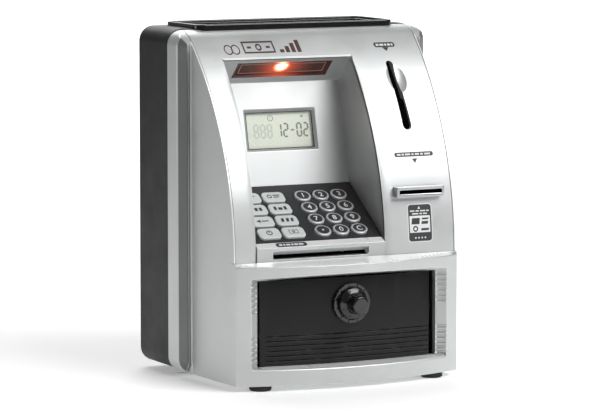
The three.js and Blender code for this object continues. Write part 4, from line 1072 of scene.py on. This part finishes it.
def door():
    slab_solid = prism(door_band(0, DOOR_THICK, DOOR_HALF), "z", DOOR_Z0, DOOR_Z1)
    plan = rounded(-DOOR_HALF, DOOR_FREE, OPENING_Y - 0.9, 0.0, 1.9, 8)
    keep = join(prism(plan, "z", 0, 90), block(-DOOR_HALF + 3.0, DOOR_FREE - 3.0, -90, -1, -1, 91))
    meet(slab_solid, keep)
    soften(slab_solid, 0.7, 4, 40.0)
    grooves = []
    for z in RIDGE_ROWS:
        rows = []
        for x, y in bowed_edge(DOOR_HALF, OPENING_Y, DOOR_BOW, 57):
            if x > -RIDGE_START:
                rows.append([(x, y - 1.2, z + 0.9), (x, y + 0.8, z + 0.15), (x, y - 1.2, z - 1.95)])
        grooves.append(loft("groove", rows))
    cut(slab_solid, together(*grooves))
    settle(slab_solid, "door_skin", "door", DOOR, "black_door", "door_panel")
    knuckle = rod("z", *HINGE, 1.6, DOOR_Z0 + 0.8, DOOR_Z1 - 0.8)
    pins = rod("z", *HINGE, 1.2, DOOR_Z0 - 2.6, DOOR_Z1 + 2.5)
    settle(soften(join(knuckle, pins), 0.2, 2), "door_pins", "door", DOOR, "black_door")


def dial():
    back = OPENING_Y - DOOR_BOW - GAP
    profile = [(14.6, back + 0.2), (14.6, back - 0.6), (14.3, back - 2.35), (14.05, back - 2.6)]
    profile += [(12.1, back - 2.6), (11.8, back - 2.35), (11.6, back - 1.5), (3.4, back - 1.5)]
    ring = turned("ring", profile, 0.0, 96)
    gaps = []
    for i in range(12):
        bar = block(11.4, 16, back - 4, back - 1.9, -0.75, 0.75)
        gaps.append(move(bar, Matrix.Rotation(math.radians(15 + 30 * i), 4, "Y")))
    cut(ring, together(*gaps))
    move(ring, Matrix.Translation((0, 0, DIAL_Z)))
    settle(soften(ring, 0.15, 2, 42.0), "dial_collar", "door", GLOSS, "gloss_black", "dial_ring")
    profile = [(11.0, -66.3), (11.0, -69.4), (10.75, -69.8), (10.2, -70.05), (8.7, -70.5), (7.4, -71.4)]
    profile += [(6.9, -72.6), (6.6, -76.4), (6.25, -80.2), (5.9, -80.85), (5.2, -81.25), (4.4, -81.28)]
    knob = turned("knob", profile + [(3.9, -81.1), (0.6, -81.0)], 0.0, 120)
    dimples = []
    for i in range(8):
        a = math.radians(45 * i + 22.5)
        dimples.append(rod("y", 9.4 * math.cos(a), 9.4 * math.sin(a), 0.55, -74, -69.6, 14))
    cut(knob, together(*dimples))
    move(knob, Matrix.Translation((0, 0, DIAL_Z)))
    settle(smooth(clean(knob), 35.0), "dial_grip", "dial", GLOSS, "gloss_black", "dial_knob")


# ------------------------------------------------------------------ rear shell, tray, feet


SCREW_SIDES = (("left", -90.0), ("right", 90.0))
SCREW_LEVELS = (("lower", 20.0), ("upper", 234.0))
COVER_SCREW_Z = 75.6
GRILLE_Z, GRILLE_PITCH, GRILLE_RADIUS = 190, 4.4, 16


def rear_shell():
    half, z0, z1 = HALF_WIDTH - 0.6, BASE_Z + 0.5, REAR_TOP_Z
    front = PARTING_Y + GAP
    shell = slab(half, z0, z1, SHELL_CORNER, front, BACK_Y, 0.0, 2.5, 12, 6)
    size = (half - WALL, z0 + WALL, z1 - WALL, SHELL_CORNER - WALL)
    cut(shell, slab(*size, front - 2, BACK_Y - WALL, 0.0, 1.5, 8, 3))
    join(shell, block(-32.8, 32.8, 60.0, BACK_Y - 1, 16.2, 71.8))
    posts = []
    holes = []
    for _, x in SCREW_SIDES:
        for _, z in SCREW_LEVELS:
            posts.append(rod("y", x, z, 5.0, PARTING_Y + 2, BACK_Y - 1))
            holes.append(rod("y", x, z, 3.7, 40, 90))
    join(shell, *posts)
    cut(shell, together(*holes), tray_hole())
    cut(shell, block(-29.4, 29.4, 61.6, 90, 19.6, 68.4), block(-31.3, 31.3, BACK_Y - 1.9, 90, 17.7, 70.3))
    cut(shell, block(-6.3, 6.3, BACK_Y - 1.9, 90, 60, 80.3))
    grille = []
    for i in range(-3, 4):
        z = GRILLE_Z + i * GRILLE_PITCH
        reach = math.sqrt(GRILLE_RADIUS**2 - (i * GRILLE_PITCH) ** 2)
        grille.append(prism(rounded(-reach, reach, z - 1, z + 1, 0.98, 5), "y", 70, 90))
    cut(shell, together(*grille))
    return settle(soften(shell, 0.35, 2), "rear_shell", "case", BLACK, "black_case", "rear_case")


def battery_door():
    leaf = prism(rounded(-31, 31, 18, 70, 1.5, 5), "y", BACK_Y - 1.6, BACK_Y)
    join(leaf, prism(rounded(-6, 6, 60, 80, 1.5, 5), "y", BACK_Y - 1.6, BACK_Y))
    cut(leaf, rod("y", 0, COVER_SCREW_Z, 3.1, BACK_Y - 0.9, 90))
    lines = []
    for z in (26.0, 29.0, 32.0):
        lines.append(prism(rounded(-12, 12, z - 0.6, z + 0.6, 0.55, 4), "y", BACK_Y - 0.6, 90))
    point = prism([(-4, 58), (4, 58), (0, 63.5)], "y", BACK_Y - 0.5, 90)
    cut(leaf, together(*lines), point)
    settle(soften(leaf, 0.3, 2), "battery_door", "battery_cover", BLACK, "black_case", "battery_cover")
    head = turned("head", [(2.7, 80.7), (2.7, 81.0), (2.4, 81.2), (1.2, 81.22)], COVER_SCREW_Z, 32)
    cross = join(block(-1.7, 1.7, 80.9, 82, 75.3, 75.9), block(-0.3, 0.3, 80.9, 82, 73.9, 77.3))
    cut(head, cross)
    join(head, rod("y", 0, COVER_SCREW_Z, 1.35, 70, 80.8, 16))
    settle(smooth(head), "battery_screw", "battery_cover", STEEL, "steel", "cover_screw")


def case_screws():
    profile = [(1.5, 15), (1.5, 40.4), (3.2, 40.4), (3.2, 41.6), (2.6, 42.5), (1.2, 42.8)]
    for level, z in SCREW_LEVELS:
        for side, x in SCREW_SIDES:
            name = f"case_screw_{level}_{side}"
            head = turned("head", profile, z, 32)
            wide = block(-2, 2, 41.6, 44, z - 0.35, z + 0.35)
            cut(head, join(wide, block(-0.35, 0.35, 41.6, 44, z - 2, z + 2)))
            move(head, Matrix.Translation((x, 0, 0)))
            settle(smooth(head), name + "_metal", "case", STEEL, "steel", name)


def brow_top(y):
    """Height of the outer surface over the brow and the flat top."""
    rise = TOP_Z - BROW_RADIUS - FASCIA_START_Z
    flat_from = FASCIA_CENTRE_Y - math.sqrt((FASCIA_RADIUS - BROW_RADIUS) ** 2 - rise**2)
    drop = max(0.0, flat_from - y)
    return TOP_Z - BROW_RADIUS + math.sqrt(BROW_RADIUS**2 - drop**2)


def tray():
    top, floor = 253.8, 246.5

    def ring(d):
        return rounded(-80 + d, 80 - d, 20.5 + d, 78.5 - d, 8 - d * 0.6, 12)

    def seat(y):
        return (brow_top(y) if y < PARTING_Y else REAR_TOP_Z) + GAP

    loops = [[(a, b, floor - 1.6) for a, b in ring(4.6)]]
    loops += [[(a, b, seat(b)) for a, b in ring(d)] for d in (4.6, 0.0)]
    rows = ((0.0, 252.9), (0.15, 253.35), (0.45, 253.65), (0.9, top), (1.7, top), (2.2, 253.65))
    rows += ((2.5, 253.35), (2.6, 252.9), (2.6, 252.3), (5.5, 252.25), (5.95, 252.1), (6.2, 251.7), (6.2, 247.3))
    for d, z in rows + ((6.4, 246.75), (7.0, floor)):
        loops.append([(a, b, z) for a, b in ring(d)])
    settle(smooth(loft("tray", loops), 40.0), "tray_bowl", "case", GLOSS, "gloss_black", "top_tray")


FOOT_ENDS = (("front", -58.5), ("rear", 63.0))
FOOT_SIDES = (("left", -68.6), ("right", 68.6))
FOOT_PROFILE = ((6.2, 0.0), (6.9, 0.12), (7.5, 0.6), (7.9, 1.3), (8.0, 2.2), (8.0, 3.5))


def feet():
    for end, y in FOOT_ENDS:
        for side, x in FOOT_SIDES:
            name = f"foot_{end}_{side}"
            loops = []
            for r, z in FOOT_PROFILE:
                loops.append([(x + a, y + b, z) for a, b in oval(r, r, 48)])
            settle(smooth(loft("foot", loops)), name + "_pad", "case", RUBBER, "rubber", name)


# ------------------------------------------------------------------ labels on the fascia


DECAL_STEP = 1.5


def decal(outline, lift=0.05):
    """A thin printed patch, given as (x, z), that lies on the curved fascia."""
    mesh = bpy.data.meshes.new("decal")
    heights = [z for x, z in outline]
    with editing(mesh) as edit:
        edit.faces.new([edit.verts.new((x, 0, z)) for x, z in outline])
        level = math.floor(min(heights)) + DECAL_STEP
        while level < max(heights):
            slice_at(edit, (0, 0, level), (0, 0, 1))
            level += DECAL_STEP
        made = bmesh.ops.extrude_face_region(edit, geom=edit.faces[:])
        moved = {v for v in made["geom"] if isinstance(v, bmesh.types.BMVert)}
        for v in edit.verts:
            v.co.y = fascia_at(v.co.z) + (-lift if v in moved else 0.2)
        bmesh.ops.recalc_face_normals(edit, faces=edit.faces)
    return put("decal", mesh)


def bars(rows, lift=0.1):
    """Printed bars, each given as x0, x1, z0, z1 and how far its top leans."""
    made = []
    for x0, x1, z0, z1, lean in rows:
        made.append(decal([(x0, z0), (x1, z0), (x1 + lean, z1), (x0 + lean, z1)], lift))
    return made


def down_arrow(x, top, half, tip):
    return decal([(x - half, top), (x, tip), (x + half, top)])


def patch_ring(x, z, outer, inner, lift=0.06, n=36):
    """A printed ring with the fascia showing inside it."""
    pieces = []
    for i in range(n):
        a, b = 2 * math.pi * i / n, 2 * math.pi * (i + 1.02) / n
        corners = ((inner, a), (outer, a), (outer, b), (inner, b))
        pieces.append(decal([(x + r * math.cos(t), z + r * math.sin(t)) for r, t in corners], lift))
    return pieces


def labels():
    coin = decal(rounded(53.3, 70.3, 235.0, 238.3, 1.6, 8))
    card = decal(rounded(45.0, 76.5, 159.0, 162.2, 1.5, 8))
    sticker = decal(rounded(50.8, 69.4, 99.0, 125.1, 2.2, 8), 0.08)
    border = decal(rounded(50.1, 70.1, 98.2, 125.9, 2.8, 8), 0.04)
    settle(border, "sticker_border", "case", PRINT_PALE, "silver_shell")
    under = [down_arrow(61.8, 234.9, 2.6, 232.2), down_arrow(60.8, 157.6, 2.2, 154.2)]
    settle(together(coin, card, sticker, *under), "slot_labels", "case", PRINT_DARK, "silver_shell")
    rows = []
    for z0, z1, spans in (
        (236.0, 237.3, ((55.0, 2.2), (58.0, 3.2), (62.0, 1.6), (64.4, 2.2), (67.4, 1.4))),
        (160.0, 161.2, ((47.0, 3.0), (50.8, 2.0), (53.6, 4.2), (58.8, 1.8))),
        (160.0, 161.2, ((61.6, 3.4), (66.0, 2.2), (69.4, 4.6))),
        (120.2, 121.1, ((52.4, 3.6), (57.0, 2.6), (60.6, 4.2), (65.6, 2.0))),
        (118.2, 119.1, ((54.0, 5.0), (60.0, 2.0), (62.8, 3.2))),
        (100.9, 102.0, ((55.6, 1.2), (58.2, 1.2), (60.8, 1.2), (63.4, 1.2))),
    ):
        rows += [(x, x + w, z0, z1, 0.0) for x, w in spans]
    card_face = decal(rounded(51.6, 68.2, 105.2, 117.2, 0.4, 5), 0.12)
    triangle = decal([(58.6, 122.1), (60.8, 122.1), (59.7, 124.0)], 0.12)
    settle(together(*bars(rows), triangle, card_face), "slot_label_marks", "case", PRINT_PALE, "silver_shell")
    blocks = [(53.0, 59.4, 111.2, 115.6, 0.6), (61.4, 66.6, 114.4, 115.6, 0.6)]
    blocks += [(61.0, 66.2, 111.2, 113.2, 0.6), (60.6, 66.8, 106.6, 108.2, 0.4)]
    inked = bars(blocks, 0.16) + patch_ring(56.2, 107.9, 2.1, 1.1, 0.16, 24)
    settle(together(*inked), "sticker_marks", "case", PRINT_DARK, "silver_shell")
    note = [(-52.0, -27.0, 240.6, 241.7), (-52.0, -27.0, 233.6, 234.7), (-52.0, -50.8, 234.8, 240.5)]
    note += [(-28.2, -27.0, 234.8, 240.5), (-48.6, -45.4, 236.9, 238.3), (-33.6, -30.4, 236.9, 238.3)]
    motif = bars([(*row, 0.0) for row in note], 0.06) + patch_ring(-39.5, 237.6, 2.4, 1.3)
    motif += patch_ring(-63.8, 236.4, 3.4, 2.6) + patch_ring(-58.2, 236.4, 3.4, 2.6)
    steps = [(-23.4 + 4.6 * i, -20.2 + 4.6 * i, 233.6, 235.8 + 2.0 * i, 0.0) for i in range(4)]
    settle(together(*motif, *bars(steps, 0.06)), "brow_motif", "case", PRINT_BROWN, "silver_shell")


# ------------------------------------------------------------------ pieces kept from the CAD frame

KEPT = (
    (LED, ("alarm_led",)),
    (BOARD, ("main_circuit_board", "key_circuit_board")),
    (INNER, ("feed_bracket", "coin_chute")),
    (RUBBER, ("drive_roller", "pressure_roller")),
    (NYLON, ("motor_pinion",)),
    (STEEL, ("feed_motor", "coin_lever", "card_lever", "latch_cam", "speaker")),
    (JACKET, ("battery_1", "battery_2", "battery_3")),
)


def dress():
    """Paints the pieces that are shown as the CAD model has them."""
    for finish, names in KEPT:
        for name in names:
            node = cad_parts[name]
            node.data.materials.clear()
            node.data.materials.append(finish)


front_housing()
flange_shade_bands()
fascia_rim_highlights()
upward_highlights()
fascia()
console()
windows()
shadow_frame()
display_marks()
keypad()
bill_bar()
card_bezel()
door()
dial()
rear_shell()
battery_door()
case_screws()
tray()
feet()
labels()
dress()

# ------------------------------------------------------------------ light, floor and camera


FLOOR_GLOW, FAR_GLOW, WALL_GLOW = 0.3, 0.02, 1.1
CAMERA_PLACE = (-1.1316, -2.2514, 0.3982)
CAMERA_TURN = (83.67, 0.0, -26.52)


def paper():
    """White studio paper. It glows near the object, and again towards its far right."""
    paint = Paint("studio_paper")
    parts = paint.add("SeparateXYZ", Vector=paint.place).outputs
    far = paint.spread(parts["Y"], 0.0, 1.0, 0.3, 1.6)
    right = paint.spread(parts["X"], 0.0, 1.0, -0.5, 0.5)
    wall = paint.spread(paint.maths("Math", "MULTIPLY", far, right), 0.0, WALL_GLOW, 0.0, 1.0)
    reach = paint.maths("VectorMath", "LENGTH", paint.place)
    floor = paint.spread(reach, FLOOR_GLOW, FAR_GLOW, 0.25, 1.6)
    return paint.finish(
        Base_Color=paint.blend(paint.noise(1.5), (0.88, 0.88, 0.88), (0.9, 0.9, 0.9)),
        Roughness=0.7,
        Specular_IOR_Level=0.2,
        Emission_Color=(1.0, 1.0, 1.0, 1.0),
        Emission_Strength=paint.maths("Math", "MAXIMUM", wall, floor),
    )


def backdrop():
    """A pale floor that curves up into a wall far behind."""
    profile = [(-4.0, 0.0)]
    for i in range(25):
        t = math.pi / 2 * i / 24
        profile.append((3.0 + 1.5 * math.sin(t), 1.5 - 1.5 * math.cos(t)))
    profile.append((4.5, 5.0))
    verts = [(x, y, z) for x in (-6.0, 6.0) for y, z in profile]
    n = len(profile)
    faces = [(i, i + 1, n + i + 1, n + i) for i in range(n - 1)]
    mesh = bpy.data.meshes.new("backdrop")
    mesh.from_pydata(verts, [], faces)
    mesh.shade_smooth()
    made = put("backdrop", mesh)
    mesh.materials.append(paper())


def area(name, place, aim, size, power):
    light = bpy.data.lights.new(name, "AREA")
    light.shape = "RECTANGLE"
    light.size = light.size_y = size
    light.energy = power
    lamp = put(name, light)
    lamp.location = place
    lamp.rotation_euler = (Vector(aim) - Vector(place)).to_track_quat("-Z", "Y").to_euler()


def studio():
    world = bpy.data.worlds.new("studio")
    world.use_nodes = True
    sky = world.node_tree.nodes["Background"].inputs
    sky["Color"].default_value = (1.0, 1.0, 1.0, 1.0)
    sky["Strength"].default_value = 0.08
    bpy.context.scene.world = world
    area("key", (0.66, -1.15, 1.34), (0, 0, 0.13), 1.25, 30.0)
    area("left", (-1.9, 0.55, 0.35), (0, 0, 0.06), 0.9, 4.6)
    area("rear", (0.1, 1.1, 1.5), (0, 0, 0.15), 1.1, 15.0)


def camera():
    lens = bpy.data.cameras.new("camera")
    lens.sensor_width = 36.0
    lens.lens = 210.0
    lens.clip_start = 0.05
    lens.clip_end = 40.0
    made = put("camera", lens)
    made.location = CAMERA_PLACE
    made.rotation_euler = [math.radians(angle) for angle in CAMERA_TURN]
    bpy.context.scene.camera = made


backdrop()
studio()
camera()
bpy.context.scene.view_settings.view_transform = "Standard"
